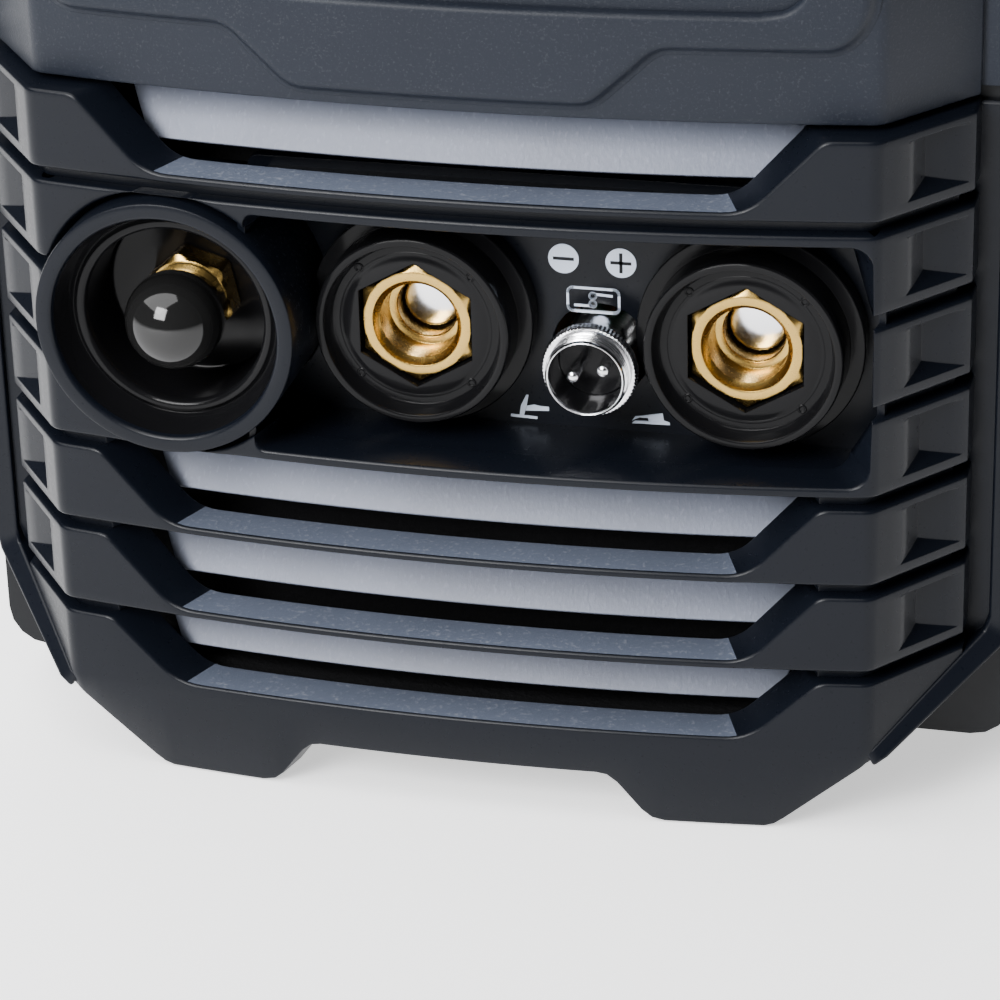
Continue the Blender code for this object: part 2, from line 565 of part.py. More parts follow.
def make_fan():
    """Axial fan: square frame, seven-bladed rotor on a hub, and a wire grille behind."""
    x, z = FAN_CENTRE
    half = FAN_SIZE / 2
    front = FAN_BACK - FAN_DEPTH
    frame = prism("fan_frame", rounded(x - half, z - half, x + half, z + half, 4), "Y", front, FAN_BACK, "black_rubber")
    cut(frame, prism("fan_throat_tool", circle(FAN_CENTRE, 43.5, 40), "Y", front - 5, FAN_BACK + 5))
    strut_back = front + 4
    for turn in range(3):
        a = math.radians(90 + 120 * turn)
        side = Vector((-math.sin(a), math.cos(a))) * 2.0
        ends = [Vector((math.cos(a), math.sin(a))) * r for r in (14.0, 45.5)]
        quad = [(x + p.x, z + p.y) for p in (ends[0] - side, ends[1] - side, ends[1] + side, ends[0] + side)]
        join(frame, prism(f"fan_strut_{turn}_tool", quad, "Y", front, strut_back))
    join(frame, lathe("fan_boss_tool", [(front, 17.0), (strut_back, 17.0)], FAN_CENTRE, steps=24),
         lathe("fan_pin_tool", [(strut_back - 1, 2.0), (front + 14, 2.0)], FAN_CENTRE, steps=16))

    hub_front = strut_back + 0.8
    pivot = (x, hub_front, z)
    rotor = lathe("fan_rotor", [(hub_front, 16.5), (FAN_BACK - 3, 16.5), (FAN_BACK - 1.5, 15.0)], FAN_CENTRE,
                  "black_rubber", steps=28, origin=pivot)
    cut(rotor, lathe("rotor_bore_tool", [(hub_front - 5, 2.4), (front + 15, 2.4)], FAN_CENTRE, steps=16))
    blades = 7
    for number in range(blades):
        join(rotor, fan_blade(number, blades, hub_front + 1.5, FAN_BACK - 3.5, pivot))

    grille_front = REAR_FACE - 4.7
    grille = lathe("fan_grille", [(grille_front, 45.0), (grille_front + 1.6, 45.0), (grille_front + 1.6, 42.5),
                                  (grille_front, 42.5)], FAN_CENTRE, "steel", closed=True, steps=28)
    for radius in (14.0, 28.0):
        join(grille, lathe(f"grille_ring_{int(radius)}_tool",
                           [(grille_front + 0.1, radius), (grille_front + 1.5, radius), (grille_front + 1.5, radius - 1.6),
                            (grille_front + 0.1, radius - 1.6)], FAN_CENTRE, closed=True, steps=24))
    for turn in range(2):
        a = math.radians(45 + 90 * turn)
        along = Vector((math.cos(a), math.sin(a))) * 44.0
        side = Vector((-along.y, along.x)).normalized() * 0.9
        quad = [(x + p.x, z + p.y) for p in (-along - side, along - side, along + side, -along + side)]
        join(grille, prism(f"grille_bar_{turn}_tool", quad, "Y", grille_front + 0.2, grille_front + 1.4))


def fan_blade(number, blades, front, back, pivot):
    """One pitched blade from inside the hub to the tip."""
    x, z = FAN_CENTRE
    loops = []
    for radius in (14.0, 28.0, 41.5):
        sweep = math.radians(360 * number / blades + 0.2 * radius)
        half_chord = math.radians(19.0)
        loop = []
        for share, thick in ((-1, 0.0), (1, 0.0), (1, BLADE_THICK), (-1, BLADE_THICK)):
            a = sweep + share * half_chord
            y = (front if share < 0 else back - BLADE_THICK) + thick
            loop.append((x + radius * math.cos(a), y, z + radius * math.sin(a)))
        loops.append(loop)
    return loft(f"blade_{number}_tool", loops, None, pivot)


def make_power_switch():
    """Rear rocker switch: a frame in the rear bezel and the rocker on its pivot."""
    x, z = SWITCH_PLACE
    back = REAR_FACE - 5 + GAP
    body = block("power_switch_body", (x - 13, REAR_FRONT + 2, z - 10), (x + 13, back + 2.0, z + 10), "black_gloss")
    join(body, block("switch_flange_tool", (x - 15.5, back, z - 12.5), (x + 15.5, back + 2.0, z + 12.5)))
    cut(body, block("switch_well_tool", (x - 10.6, REAR_FACE - 12, z - 8.6), (x + 10.6, REAR_FACE + 5, z + 8.6)))
    pivot_y = REAR_FACE - 5.2
    level = [(-6.0, -4.2), (6.0, -4.2), (7.4, 3.0), (0.0, 2.2), (-7.4, 3.0)]
    tilt = math.radians(ROCKER_SWING / 2)
    rocker = [(a * math.cos(tilt) - b * math.sin(tilt), a * math.sin(tilt) + b * math.cos(tilt)) for a, b in level]
    prism("power_rocker", [(pivot_y + b, z + a) for a, b in rocker][::-1], "X", x - 10.2, x + 10.2, "black_rubber",
          (x, pivot_y, z))


def make_rear_fittings():
    gland_front = REAR_FACE - 5 + GAP
    gland = prism("cable_gland", hexagon(GLAND_PLACE, 24.0), "Y", gland_front, gland_front + 6, "black_gloss")
    join(gland, lathe("gland_nose_tool", [(gland_front + 5, 11.0), (gland_front + 9, 11.0), (gland_front + 15, 8.0)],
                      GLAND_PLACE, steps=24),
         lathe("gland_thread_tool", [(REAR_FRONT - 2, 9.8), (gland_front + 1, 9.8)], GLAND_PLACE, steps=24))
    cut(gland, lathe("gland_bore_tool", [(REAR_FRONT - 9, 4.6), (gland_front + 30, 4.6)], GLAND_PLACE, steps=20))
    nut_back = REAR_FACE - 8.5 - GAP
    nut = prism("cable_gland_nut", hexagon(GLAND_PLACE, 26.0), "Y", nut_back - 4, nut_back, "black_gloss")
    cut(nut, prism("gland_nut_hole_tool", circle(GLAND_PLACE, 10.1, 24), "Y", nut_back - 9, nut_back + 5))

    barb = gland_front
    tail = [(REAR_FRONT - 12, 6.4), (barb + 1, 6.4)]
    inlet = lathe("gas_inlet_fitting", tail, GAS_INLET, "brass", steps=24)
    end = REAR_REACH
    teeth = [(barb + 6, 4.2)]
    for tooth in range(3):
        start = barb + 9 + 4.4 * tooth
        teeth += [(start, 4.2), (start, 5.2), (start + 4.2, 4.2)]
    teeth += [(end - 1, 4.0), (end, 3.4)]
    join(inlet, prism("inlet_nut_tool", hexagon(GAS_INLET, 17.0), "Y", barb, barb + 7),
         lathe("inlet_barb_tool", teeth, GAS_INLET, steps=20))
    cut(inlet, lathe("inlet_bore_tool", [(REAR_FRONT - 20, 1.8), (end + 5, 1.8)], GAS_INLET, steps=12))

    stud_back = REAR_FACE + 8
    lathe("earth_stud", [(REAR_FRONT + 1, 3.0), (stud_back - 0.6, 3.0), (stud_back, 2.4)], EARTH_PLACE, "steel",
          steps=20)
    wing = prism("earth_nut", hexagon(EARTH_PLACE, 11.0), "Y", gland_front, gland_front + 5.0, "brass")
    cut(wing, prism("earth_nut_hole_tool", circle(EARTH_PLACE, 3.3, 20), "Y", gland_front - 5, gland_front + 12))


# ---------------------------------------------------------------- inside

def make_gas_line():
    """Solenoid valve at the rear, its plunger, and the hose to the front outlet."""
    x, z = GAS_INLET
    front, back = REAR_FRONT - 44, REAR_FRONT - 12.3
    body = block("gas_valve_body", (x - 11, front, z - 10), (x + 11, back, z + 10), "brass")
    coil_top = z + 46
    join(body, lathe("valve_coil_tool", [(z + 9, 12.5), (coil_top, 12.5)], (x, (front + back) / 2), axis="Z", steps=24),
         lathe("valve_barb_tool", [(front - 14, 3.2), (front + 1, 3.6)], (x, z), steps=16))
    cut(body, lathe("valve_chamber_tool", [(z - 2, 4.4), (coil_top - 2, 4.4)], (x, (front + back) / 2), axis="Z",
                    steps=20),
        lathe("valve_bore_tool", [(front - 20, 1.8), (back + 9, 1.8)], (x, z), steps=12))
    seat = z - 2 + GAP
    lathe("gas_valve_plunger", [(seat, 2.2), (seat + 1.4, 4.1), (seat + 30, 4.1)], (x, (front + back) / 2),
          "steel", axis="Z", steps=20, origin=(x, (front + back) / 2, seat))

    start = Vector((CUP_CENTRE[0], FRONT + 41.0 + GAP, CUP_CENTRE[1]))
    finish = Vector((x, front - 14 - GAP, z))
    route = [start, start + Vector((0, 22, 0)), Vector((CUP_CENTRE[0] - 8, FRONT + 70, 66)), Vector((x - 13, -90, 34)),
             Vector((x - 14, -20, 24)), Vector((x - 12, 50, 25)), finish - Vector((2, 22, 3)), finish]
    make_hose(route)


def smooth_route(route, spacing):
    """Evenly spaced points on a Catmull-Rom curve through the route."""
    ends = [route[0] * 2 - route[1]] + route + [route[-1] * 2 - route[-2]]
    points = []
    for a, b, c, d in zip(ends, ends[1:], ends[2:], ends[3:]):
        count = max(2, round((c - b).length / spacing))
        for i in range(count):
            t = i / count
            points.append(0.5 * (2 * b + (c - a) * t + (2 * a - 5 * b + 4 * c - d) * t ** 2
                                 + (3 * b - a - 3 * c + d) * t ** 3))
    return points + [route[-1]]


def make_hose(route):
    curve = bpy.data.curves.new("gas_hose", "CURVE")
    curve.dimensions = "3D"
    curve.bevel_depth = 3.0 * MM
    curve.bevel_resolution = 2
    curve.use_fill_caps = True
    points = smooth_route(route, 14.0)
    spline = curve.splines.new("POLY")
    spline.points.add(len(points) - 1)
    for slot, point in zip(spline.points, points):
        slot.co = (*(point * MM), 1.0)
    curve.materials.append(material("hose"))
    bpy.context.scene.collection.objects.link(bpy.data.objects.new("gas_hose", curve))


def make_heatsink(word, side):
    """A finned bar that cools the transistors and carries the main board."""
    low, high = 54.0, 96.0
    near, far = 12.0, 46.0
    outline = [(near, high), (near, high - 6)]
    fins = 5
    pitch = (far - near) / (fins - 0.4)
    for fin in range(fins):
        left = near + pitch * fin
        outline += [(left, high - 6), (left, low), (left + pitch * 0.4, low), (left + pitch * 0.4, high - 6)]
    outline = outline[:1] + outline[2:] + [(far, high)]
    prism(f"heatsink_{word}", [(side * x, z) for x, z in outline], "Y", -60, 120, "aluminium")


def make_electronics():
    board_low = 97.0
    make_heatsink("left", -1)
    make_heatsink("right", 1)
    board = block("main_board", (-84, -130, board_low), (62, 132, board_low + 1.6), "board_green")
    cut(board, block("board_corner_tool", (-90, 100, board_low - 5), (-40, 140, board_low + 9)))
    top = board_low + 1.6 + GAP
    for word, y in (("front", -84), ("rear", -42)):
        lathe(f"capacitor_{word}", [(top, 17.0), (top + 48, 17.0), (top + 50, 15.5)], (-60, y), "sleeve", "Z", 28)
    block("rectifier_bridge", (34, 70, top), (60, 110, top + 22), "ferrite")

    core = block("transformer_core", (-34, -70, top), (34, -6, top + 60), "ferrite")
    cut(core, block("core_left_tool", (-24, -90, top + 14), (-9, 20, top + 46)),
        block("core_right_tool", (9, -90, top + 14), (24, 20, top + 46)))
    winding = prism("transformer_winding", rounded(-23.4, -84, 23.4, 8, 12), "Z", top + 14.4, top + 45.6, "copper")
    cut(winding, block("winding_window_tool", (-9.4, -70.4, top), (9.4, -5.6, top + 70)))

    lathe("output_inductor", [(24, 36), (50, 36), (50, 18), (24, 18)], (24, -120), "copper", "Z", 32, True)
    lathe("arc_starter_coil", [(top + 4, 16), (top + 34, 16), (top + 34, 8), (top + 4, 8)], (40, 24), "copper", "Z", 28,
          True)


def make_busbars():
    """Copper straps from the two power sockets into the machine."""
    for word, x in SOCKETS.items():
        front = FRONT + 42 + GAP
        bar = block(f"{word}_busbar", (x - 9, front, 58), (x + 9, front + 3, SOCKET_HEIGHT + 9), "copper")
        join(bar, block(f"{word}_foot_tool", (x - 9, front, 58), (x + 9, front + 26, 61)))


clear_scene()
make_front_bezel()
make_louvres()
make_connector_panel()
for socket_word, socket_x in SOCKETS.items():
    make_power_socket(socket_word, socket_x)
make_control_socket()
make_gas_outlet()
make_control_housing()
make_control_overlay()
make_control_board()
make_encoder()
make_buttons()
make_front_plate()
make_case()
make_handle()
make_rear_bezel()
make_fan()
make_power_switch()
make_rear_fittings()
make_gas_line()
make_electronics()
make_busbars()
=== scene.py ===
import json
import math

import bmesh
import bpy
from mathutils import Matrix, Vector


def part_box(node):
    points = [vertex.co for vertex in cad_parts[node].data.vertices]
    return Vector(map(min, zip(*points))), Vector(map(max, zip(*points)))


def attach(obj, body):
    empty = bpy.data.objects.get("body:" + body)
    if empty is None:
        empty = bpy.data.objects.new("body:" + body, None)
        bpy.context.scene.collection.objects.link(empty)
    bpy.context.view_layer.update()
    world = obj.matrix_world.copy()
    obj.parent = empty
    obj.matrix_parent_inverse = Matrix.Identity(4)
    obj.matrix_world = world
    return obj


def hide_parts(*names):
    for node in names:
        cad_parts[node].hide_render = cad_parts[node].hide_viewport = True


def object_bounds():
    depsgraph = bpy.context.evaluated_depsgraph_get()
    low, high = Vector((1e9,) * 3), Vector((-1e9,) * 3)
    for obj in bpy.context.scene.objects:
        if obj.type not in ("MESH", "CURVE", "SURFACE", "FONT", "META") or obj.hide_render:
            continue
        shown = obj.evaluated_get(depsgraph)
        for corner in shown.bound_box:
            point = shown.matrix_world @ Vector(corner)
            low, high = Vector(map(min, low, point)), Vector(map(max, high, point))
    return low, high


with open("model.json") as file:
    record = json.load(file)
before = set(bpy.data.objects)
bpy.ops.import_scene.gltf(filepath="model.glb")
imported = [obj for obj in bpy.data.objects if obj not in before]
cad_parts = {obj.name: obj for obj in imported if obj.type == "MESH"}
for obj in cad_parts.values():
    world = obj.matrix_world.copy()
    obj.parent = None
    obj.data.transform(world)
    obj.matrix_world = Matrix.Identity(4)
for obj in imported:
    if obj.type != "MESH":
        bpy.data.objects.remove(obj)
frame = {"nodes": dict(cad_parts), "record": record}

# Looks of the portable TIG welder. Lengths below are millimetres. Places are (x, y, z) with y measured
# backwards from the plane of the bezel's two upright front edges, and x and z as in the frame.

MM = 0.001
CAD_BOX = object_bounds()
PLATE_SETBACK = 24.0
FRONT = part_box("front_plate")[0].y / MM - PLATE_SETBACK

# Plan of the bezel: a bowed middle, a rounded corner, a slanted facet and a straight side
EDGE = 70.2                         # half the width of the bowed middle
BOW = 5.58                          # how far the middle stands in front of the edges
ROUND = 1.6
FACET_END = 91.4                    # where the facet stops, measured along the surface
SIDE_HALF = 83.3
BACK = 23.0
RUN = Vector((0.6178, 0.7863))      # direction of the facet in the plan
WALL = 8.0

# Bars, numbered from 0 at the top. A vent is a dip in the upper edge of its bar
BARS = 7
PITCH = 16.0
BAR_HEIGHT = 13.65
TOP = 125.0
GROOVE = 2.6                        # depth of the groove between two bars
VENT_DEPTH = {0: 12.4, 4: 12.4, 5: 12.4, 6: 10.9}
VENT_WIDE, VENT_NARROW = 62.0, 50.0
VENT_STRAIGHT = 41.0                # half the length of a sill's part without roundings
POCKET_START, POCKET_DEEP, POCKET_END = 6.6, 12.6, 19.8
POCKET_DEPTH = 2.4

# Lower edge of the bezel, as (|x|, z): a raised middle, a foot and the slanted corner
SKIRT_LINE = [(0, 9.25), (24.6, 9.25), (26.4, 8.9), (28.2, 7.4), (32.4, 2.0), (34.2, 0.5), (36.4, 0), (53.6, 0),
              (55.2, 0.5), (56.8, 1.7), (EDGE, 13.6)]
SKIRT_CREASE = 16.2
CORNER_SLOPE = 0.75

REAR_FACE = 192.0

# Recess and cup
RECESS_X = (-33.0, 70.0)
RECESS_Z = (65.0, 107.1)
RECESS_FLOOR = 15.0
RECESS_ROUND = 4.0
CUP = (-47.3, 86.2)
CUP_OUTER = 22.35
CUP_GAP = 23.4                      # radius of the opening in the bars round the cup
CUP_FRONT = -6.0

# Head: a well for the control panel in a raised middle on a lower ground
HEAD_FOOT = 126.0
HEAD_GROUND, HEAD_RAISED = 4.2, 2.4
WELL_MIDDLE = Vector((0, 197.6))
WELL_HALF = Vector((59.2, 53.2))
WELL_ROUND = 7.0
WELL_BACK = 5.2

# Prints on the connector panel
MINUS, PLUS = (15.9, 95.3), (25.6, 95.2)
PRINT_RISE = 0.16
MARK_RISE, MARK_SUNK = 0.06, 0.1    # how far panel marks stand out of their face and reach into it


# ---------------------------------------------------------------- mesh helpers

def at(x, y, z):
    """A point in the frame, in metres, from millimetres with y behind the bezel's front edges."""
    return Vector((x, FRONT + y, z)) * MM


def skin(bm, loops, closed=False, kinds=None):
    """Joins loops with the same number of points into one body. kinds(row, column) picks a face's material."""
    rings = [[bm.verts.new(at(*p)) for p in loop] for loop in loops]
    pairs = list(zip(rings, rings[1:]))
    if closed:
        pairs.append((rings[-1], rings[0]))
    count = len(rings[0])
    for row, (lower, upper) in enumerate(pairs):
        for i in range(count):
            j = (i + 1) % count
            face = bm.faces.new((lower[i], lower[j], upper[j], upper[i]))
            if kinds:
                face.material_index = kinds(row, i)
    if not closed:
        bm.faces.new(rings[0][::-1])
        bm.faces.new(rings[-1])


def piece(name, bm, body, materials, replaces=(), sharp=35.0, bevel=0.0):
    """Makes the object from a bmesh and puts it on its body."""
    bmesh.ops.remove_doubles(bm, verts=bm.verts, dist=2e-6)
    bmesh.ops.dissolve_degenerate(bm, edges=bm.edges, dist=1e-6)
    bmesh.ops.recalc_face_normals(bm, faces=bm.faces)
    mesh = bpy.data.meshes.new(name)
    bm.to_mesh(mesh)
    bm.free()
    for each in materials:
        mesh.materials.append(each)
    mesh.shade_smooth()
    mesh.set_sharp_from_angle(angle=math.radians(sharp))
    made = bpy.data.objects.new(name, mesh)
    bpy.context.scene.collection.objects.link(made)
    if bevel:
        edge = made.modifiers.new("edges", "BEVEL")
        edge.width = bevel * MM
        edge.segments = 2
        edge.limit_method = "ANGLE"
        edge.angle_limit = math.radians(30)
        edge.harden_normals = True
    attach(made, body)
    if replaces:
        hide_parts(*replaces)


def face_of(node):
    """How far a node's front is behind the bezel's front edges."""
    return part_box(node)[0].y / MM - FRONT


def middle_of(node):
    """The (x, z) of a node's middle."""
    low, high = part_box(node)
    return (low.x + high.x) / 2 / MM, (low.z + high.z) / 2 / MM


def circle(centre, radius, steps, turn=0.0):
    return [(centre[0] + radius * math.cos(2 * math.pi * i / steps + turn),
             centre[1] + radius * math.sin(2 * math.pi * i / steps + turn)) for i in range(steps)]


def turned(bm, profile, centre, steps=72, closed=False, shape=None):
    """Turns (y, radius) points about an axis along y. shape(angle) can limit the radius."""
    loops = []
    for y, radius in profile:
        loop = []
        for i in range(steps):
            a = 2 * math.pi * i / steps
            r = min(radius, shape(a)) if shape else radius
            loop.append((centre[0] + r * math.cos(a), y, centre[1] + r * math.sin(a)))
        loops.append(loop)
    skin(bm, loops, closed)


def hexagonal(across_flats, turn=0.0):
    """Radius of a hexagon at an angle. A corner points up where turn is 0."""
    def radius(angle):
        return across_flats / 2 / math.cos((angle - turn + math.pi / 6) % (math.pi / 3) - math.pi / 6)
    return radius


def prism(bm, outline, y0, y1):
    """A front-view outline pushed along y."""
    skin(bm, [[(x, y, z) for x, z in outline] for y in (y0, y1)])


def rounded(x0, z0, x1, z1, radius, steps=6):
    corners = [(x1 - radius, z0 + radius, -90), (x1 - radius, z1 - radius, 0),
               (x0 + radius, z1 - radius, 90), (x0 + radius, z0 + radius, 180)]
    return [(cx + radius * math.cos(math.radians(start + 90 * i / steps)),
             cz + radius * math.sin(math.radians(start + 90 * i / steps)))
            for cx, cz, start in corners for i in range(steps + 1)]


def filleted(points, radii, steps=6):
    """An open line with each inner point rounded by a curve that starts the given length before it."""
    out = [points[0]]
    for before, here, after, reach in zip(points, points[1:], points[2:], radii):
        a, b, c = Vector(before), Vector(here), Vector(after)
        start = b + (a - b).normalized() * reach
        end = b + (c - b).normalized() * reach
        for i in range(steps + 1):
            t = i / steps
            out.append(tuple(start * (1 - t) ** 2 + b * (2 * t * (1 - t)) + end * t * t))
    return out + [points[-1]]


# ---------------------------------------------------------------- the bezel's plan

def bow_at(x):
    return -BOW * (1 - (x / EDGE) ** 2)


def plan(s, t):
    """Top view: the point at s along the front and the facet, t behind the surface. s is x on the bowed part."""
    side = -1.0 if s < 0 else 1.0
    a = abs(s)
    corner = Vector((EDGE - 0.554 * t, 0.913 * t))

    def front(x):
        share = x / EDGE
        return Vector((x * (1 - 0.554 * t / EDGE), bow_at(x) + t * (1 - 0.087 * share * share)))

    def facet(u):
        return corner + RUN * (u * (1 - 0.034 * t))

    if a <= EDGE - ROUND:
        p = front(a)
    elif a < EDGE + ROUND:
        q = (a - EDGE + ROUND) / (2 * ROUND)
        p = front(EDGE - ROUND) * (1 - q) ** 2 + corner * (2 * q * (1 - q)) + facet(ROUND) * q * q
    elif a <= FACET_END:
        p = facet(a - EDGE)
    else:
        end = facet(FACET_END - EDGE)
        p = Vector((SIDE_HALF - t, end.y + (a - FACET_END) * (BACK - end.y)))
    return side * p.x, p.y


POCKET_STATIONS = [EDGE + u for u in (4.0, POCKET_START, 8.6, 10.6, POCKET_DEEP, 15.0, 17.4, POCKET_END)]
FACET_STATIONS = ([EDGE - ROUND + 2 * ROUND * i / 6 for i in range(7)] + POCKET_STATIONS
                  + [FACET_END, FACET_END + 1.0])
FRONT_STATIONS = [4.0 * i for i in range(-17, 18)]
SILL_STATIONS = [x for x in FRONT_STATIONS if abs(x) < VENT_STRAIGHT]


def both_sides(values):
    return sorted([-v for v in values] + list(values))


def lip(level, side, radius=0.55, steps=3):
    """Rounded edge of a bar as (t, z) rows: side -1 at its foot, 1 at its top."""
    rows = []
    for i in range(steps + 1):
        a = math.pi / 2 * i / steps
        rows.append((radius * (1 - math.sin(a)), level - side * radius * (1 - math.cos(a))))
    return rows if side < 0 else rows[::-1]


def pocket(u, low):
    """Depth of the facet's pocket at u, and the height of the lit ramp at its foot."""
    if u <= POCKET_START or u >= POCKET_END:
        return 0.0, low + 2.0
    if u < POCKET_DEEP:
        share = (u - POCKET_START) / (POCKET_DEEP - POCKET_START)
    else:
        share = (POCKET_END - u) / (POCKET_END - POCKET_DEEP)
    return POCKET_DEPTH * share, low + 2.0 + 2.1 * share


def bar_loop(s, low, high, wall, pocketed):
    """One section of a bar as points round its edge."""
    edge = min(0.6, 0.55 * (high - low))
    rows = [(wall, low)] + lip(low, -1, min(0.5, 0.2 * (high - low)))
    if pocketed:
        depth, ramp = pocket(abs(s) - EDGE, low)
        top = max(high - 1.5, low + 0.4 * (high - low))
        rows += [(0.0, min(low + 1.9, top)), (depth, min(ramp, top)), (depth, max(top - 0.4, min(ramp, top))),
                 (0.0, top)]
    rows += lip(high, 1, edge) + [(wall, high)]
    loop = []
    for t, z in rows:
        x, y = plan(s, min(t, wall))
        loop.append((x, y, z))
    return loop


def strip(bm, stations, low, high, wall=None, pocketed=False, kinds=None):
    """A bar, or part of one, along the plan. low, high and wall may be functions of the station."""
    def value(f, s):
        return f(s) if callable(f) else f
    wall = WALL if wall is None else wall
    loops = [bar_loop(s, value(low, s), value(high, s), value(wall, s), pocketed) for s in stations]
    skin(bm, loops, kinds=kinds)


def groove(bm, stations, low, high, wall=None):
    """The floor of the groove between two bars."""
    loops = []
    for s in stations:
        depth = wall(s) if callable(wall) else WALL
        rows = [(max(depth, GROOVE + 0.4), low), (GROOVE, low), (GROOVE, high), (max(depth, GROOVE + 0.4), high)]
        loops.append([(*plan(s, t), z) for t, z in rows])
    skin(bm, loops)


def vent_line(top, depth):
    """Upper edge of a vent's bar on the right: (x, z) from the sill to the corner."""
    sill = top - depth
    return filleted([(VENT_NARROW - 8, sill), (VENT_NARROW, sill), (VENT_WIDE, top), (VENT_WIDE + 3, top)],
                    [4.0, 1.4])


def along(points):
    """Height as a function of |x| through points in order of x."""
    def height(s):
        a = abs(s)
        if a <= points[0][0]:
            return points[0][1]
        for (x0, z0), (x1, z1) in zip(points, points[1:]):
            if a <= x1:
                return z0 + (z1 - z0) * (a - x0) / max(x1 - x0, 1e-6)
        return points[-1][1]
    return height


def skirt_low(s):
    """Lower edge of the bezel: feet, a raised middle and slanted corners."""
    if abs(s) <= EDGE:
        return along(SKIRT_LINE)(s)
    x = min(abs(plan(s, 0)[0]), SIDE_HALF)
    return SKIRT_LINE[-1][1] + CORNER_SLOPE * (x - EDGE)


# ---------------------------------------------------------------- materials

def nodes_of(material):
    tree = material.node_tree
    return tree, tree.nodes, tree.links


def finish(name, colour, roughness, metallic=0.0, grain=900.0, grain_depth=0.02, mottle=0.12, rough_spread=0.08,
           stretch=(1, 1, 1), coat=0.0, edge=0.25, speckle=0.0, specular=0.5):
    """A plastic, paint or metal: colour mottled by noise, grain in bump and roughness, and softened edges."""
    made = bpy.data.materials.new(name)
    made.use_nodes = True
    tree, nodes, links = nodes_of(made)
    shader = nodes["Principled BSDF"]
    shader.inputs["Metallic"].default_value = metallic
    shader.inputs["Coat Weight"].default_value = coat
    shader.inputs["Coat Roughness"].default_value = 0.08
    shader.inputs["Specular IOR Level"].default_value = specular

    place = nodes.new("ShaderNodeTexCoord")
    scale = nodes.new("ShaderNodeMapping")
    scale.inputs["Scale"].default_value = stretch
    links.new(place.outputs["Object"], scale.inputs["Vector"])

    fine = nodes.new("ShaderNodeTexNoise")
    fine.inputs["Scale"].default_value = grain
    fine.inputs["Detail"].default_value = 4.0
    links.new(scale.outputs["Vector"], fine.inputs["Vector"])
    broad = nodes.new("ShaderNodeTexNoise")
    broad.inputs["Scale"].default_value = 45.0
    broad.inputs["Detail"].default_value = 3.0
    links.new(place.outputs["Object"], broad.inputs["Vector"])

    shades = nodes.new("ShaderNodeMix")
    shades.data_type = "RGBA"
    shades.inputs["A"].default_value = (*[c * (1 - mottle) for c in colour], 1)
    shades.inputs["B"].default_value = (*[min(1, c * (1 + mottle)) for c in colour], 1)
    links.new(broad.outputs["Fac"], shades.inputs["Factor"])
    result = shades.outputs["Result"]
    if speckle:
        dots = nodes.new("ShaderNodeMapRange")
        dots.inputs["From Min"].default_value = 0.56
        dots.inputs["From Max"].default_value = 0.74
        links.new(fine.outputs["Fac"], dots.inputs["Value"])
        light = nodes.new("ShaderNodeMix")
        light.data_type = "RGBA"
        light.blend_type = "ADD"
        light.inputs["B"].default_value = (speckle, speckle, speckle * 1.05, 1)
        links.new(dots.outputs["Result"], light.inputs["Factor"])
        links.new(result, light.inputs["A"])
        result = light.outputs["Result"]
    links.new(result, shader.inputs["Base Color"])

    rough = nodes.new("ShaderNodeMapRange")
    rough.inputs["To Min"].default_value = max(0.02, roughness - rough_spread)
    rough.inputs["To Max"].default_value = min(1.0, roughness + rough_spread)
    links.new(fine.outputs["Fac"], rough.inputs["Value"])
    links.new(rough.outputs["Result"], shader.inputs["Roughness"])

    bump = nodes.new("ShaderNodeBump")
    bump.inputs["Strength"].default_value = 1.0
    bump.inputs["Distance"].default_value = grain_depth * MM
    links.new(fine.outputs["Fac"], bump.inputs["Height"])
    if edge:
        soft = nodes.new("ShaderNodeBevel")
        soft.samples = 4
        soft.inputs["Radius"].default_value = edge * MM
        links.new(soft.outputs["Normal"], bump.inputs["Normal"])
    links.new(bump.outputs["Normal"], shader.inputs["Normal"])
    return made


CHARCOAL = finish("moulded_charcoal", (0.0028, 0.0037, 0.0062), 0.30, grain=1500, grain_depth=0.006, mottle=0.10,
                  specular=0.13)
HEAD = finish("textured_head", (0.0085, 0.0108, 0.0165), 0.45, grain=2300, grain_depth=0.05, mottle=0.08,
              speckle=0.012, specular=0.14)
# Spark-textured sill: the texture is real, but its light grey-blue colour is painted light, a lit copy of the
# charcoal bars standing in for the light falling on the upward sills and their lips.
PAINTED_LIGHT_SILL = finish("sill_spark_texture_painted_light", (0.060, 0.071, 0.098), 0.40, grain=1300, grain_depth=0.08, mottle=0.2,
              speckle=0.06, specular=0.4)
# Louvre plates: the bezel's dark plastic with a vertical grain; their light grey colour is a painted reflection
# of the soft box above on the upward-sloping plates.
PAINTED_SHEEN_LOUVRE = finish("louvre_grain_painted_sheen", (0.135, 0.152, 0.205), 0.5, grain=1400, grain_depth=0.05, mottle=0.22,
                stretch=(1, 1, 0.12), speckle=0.05)
GLOSS = finish("gloss_black", (0.004, 0.004, 0.0045), 0.14, grain=500, grain_depth=0.002, mottle=0.3,
               rough_spread=0.04, specular=0.10)
RUBBER = finish("glossy_rubber", (0.006, 0.006, 0.006), 0.07, grain=180, grain_depth=0.01, mottle=0.3,
                rough_spread=0.03, specular=0.35)
PAINT = finish("powder_coat", (0.005, 0.0055, 0.0065), 0.42, grain=900, grain_depth=0.05, mottle=0.10,
               specular=0.16)
BRASS = finish("turned_brass", (0.40, 0.26, 0.075), 0.26, metallic=1.0, grain=900, grain_depth=0.01, mottle=0.16,
               rough_spread=0.08, edge=0.15)
STEEL = finish("bright_steel", (0.72, 0.72, 0.74), 0.16, metallic=1.0, grain=800, grain_depth=0.006, mottle=0.1)
CHROME = finish("chrome", (0.82, 0.82, 0.84), 0.12, metallic=1.0, grain=1200, grain_depth=0.02, mottle=0.1)
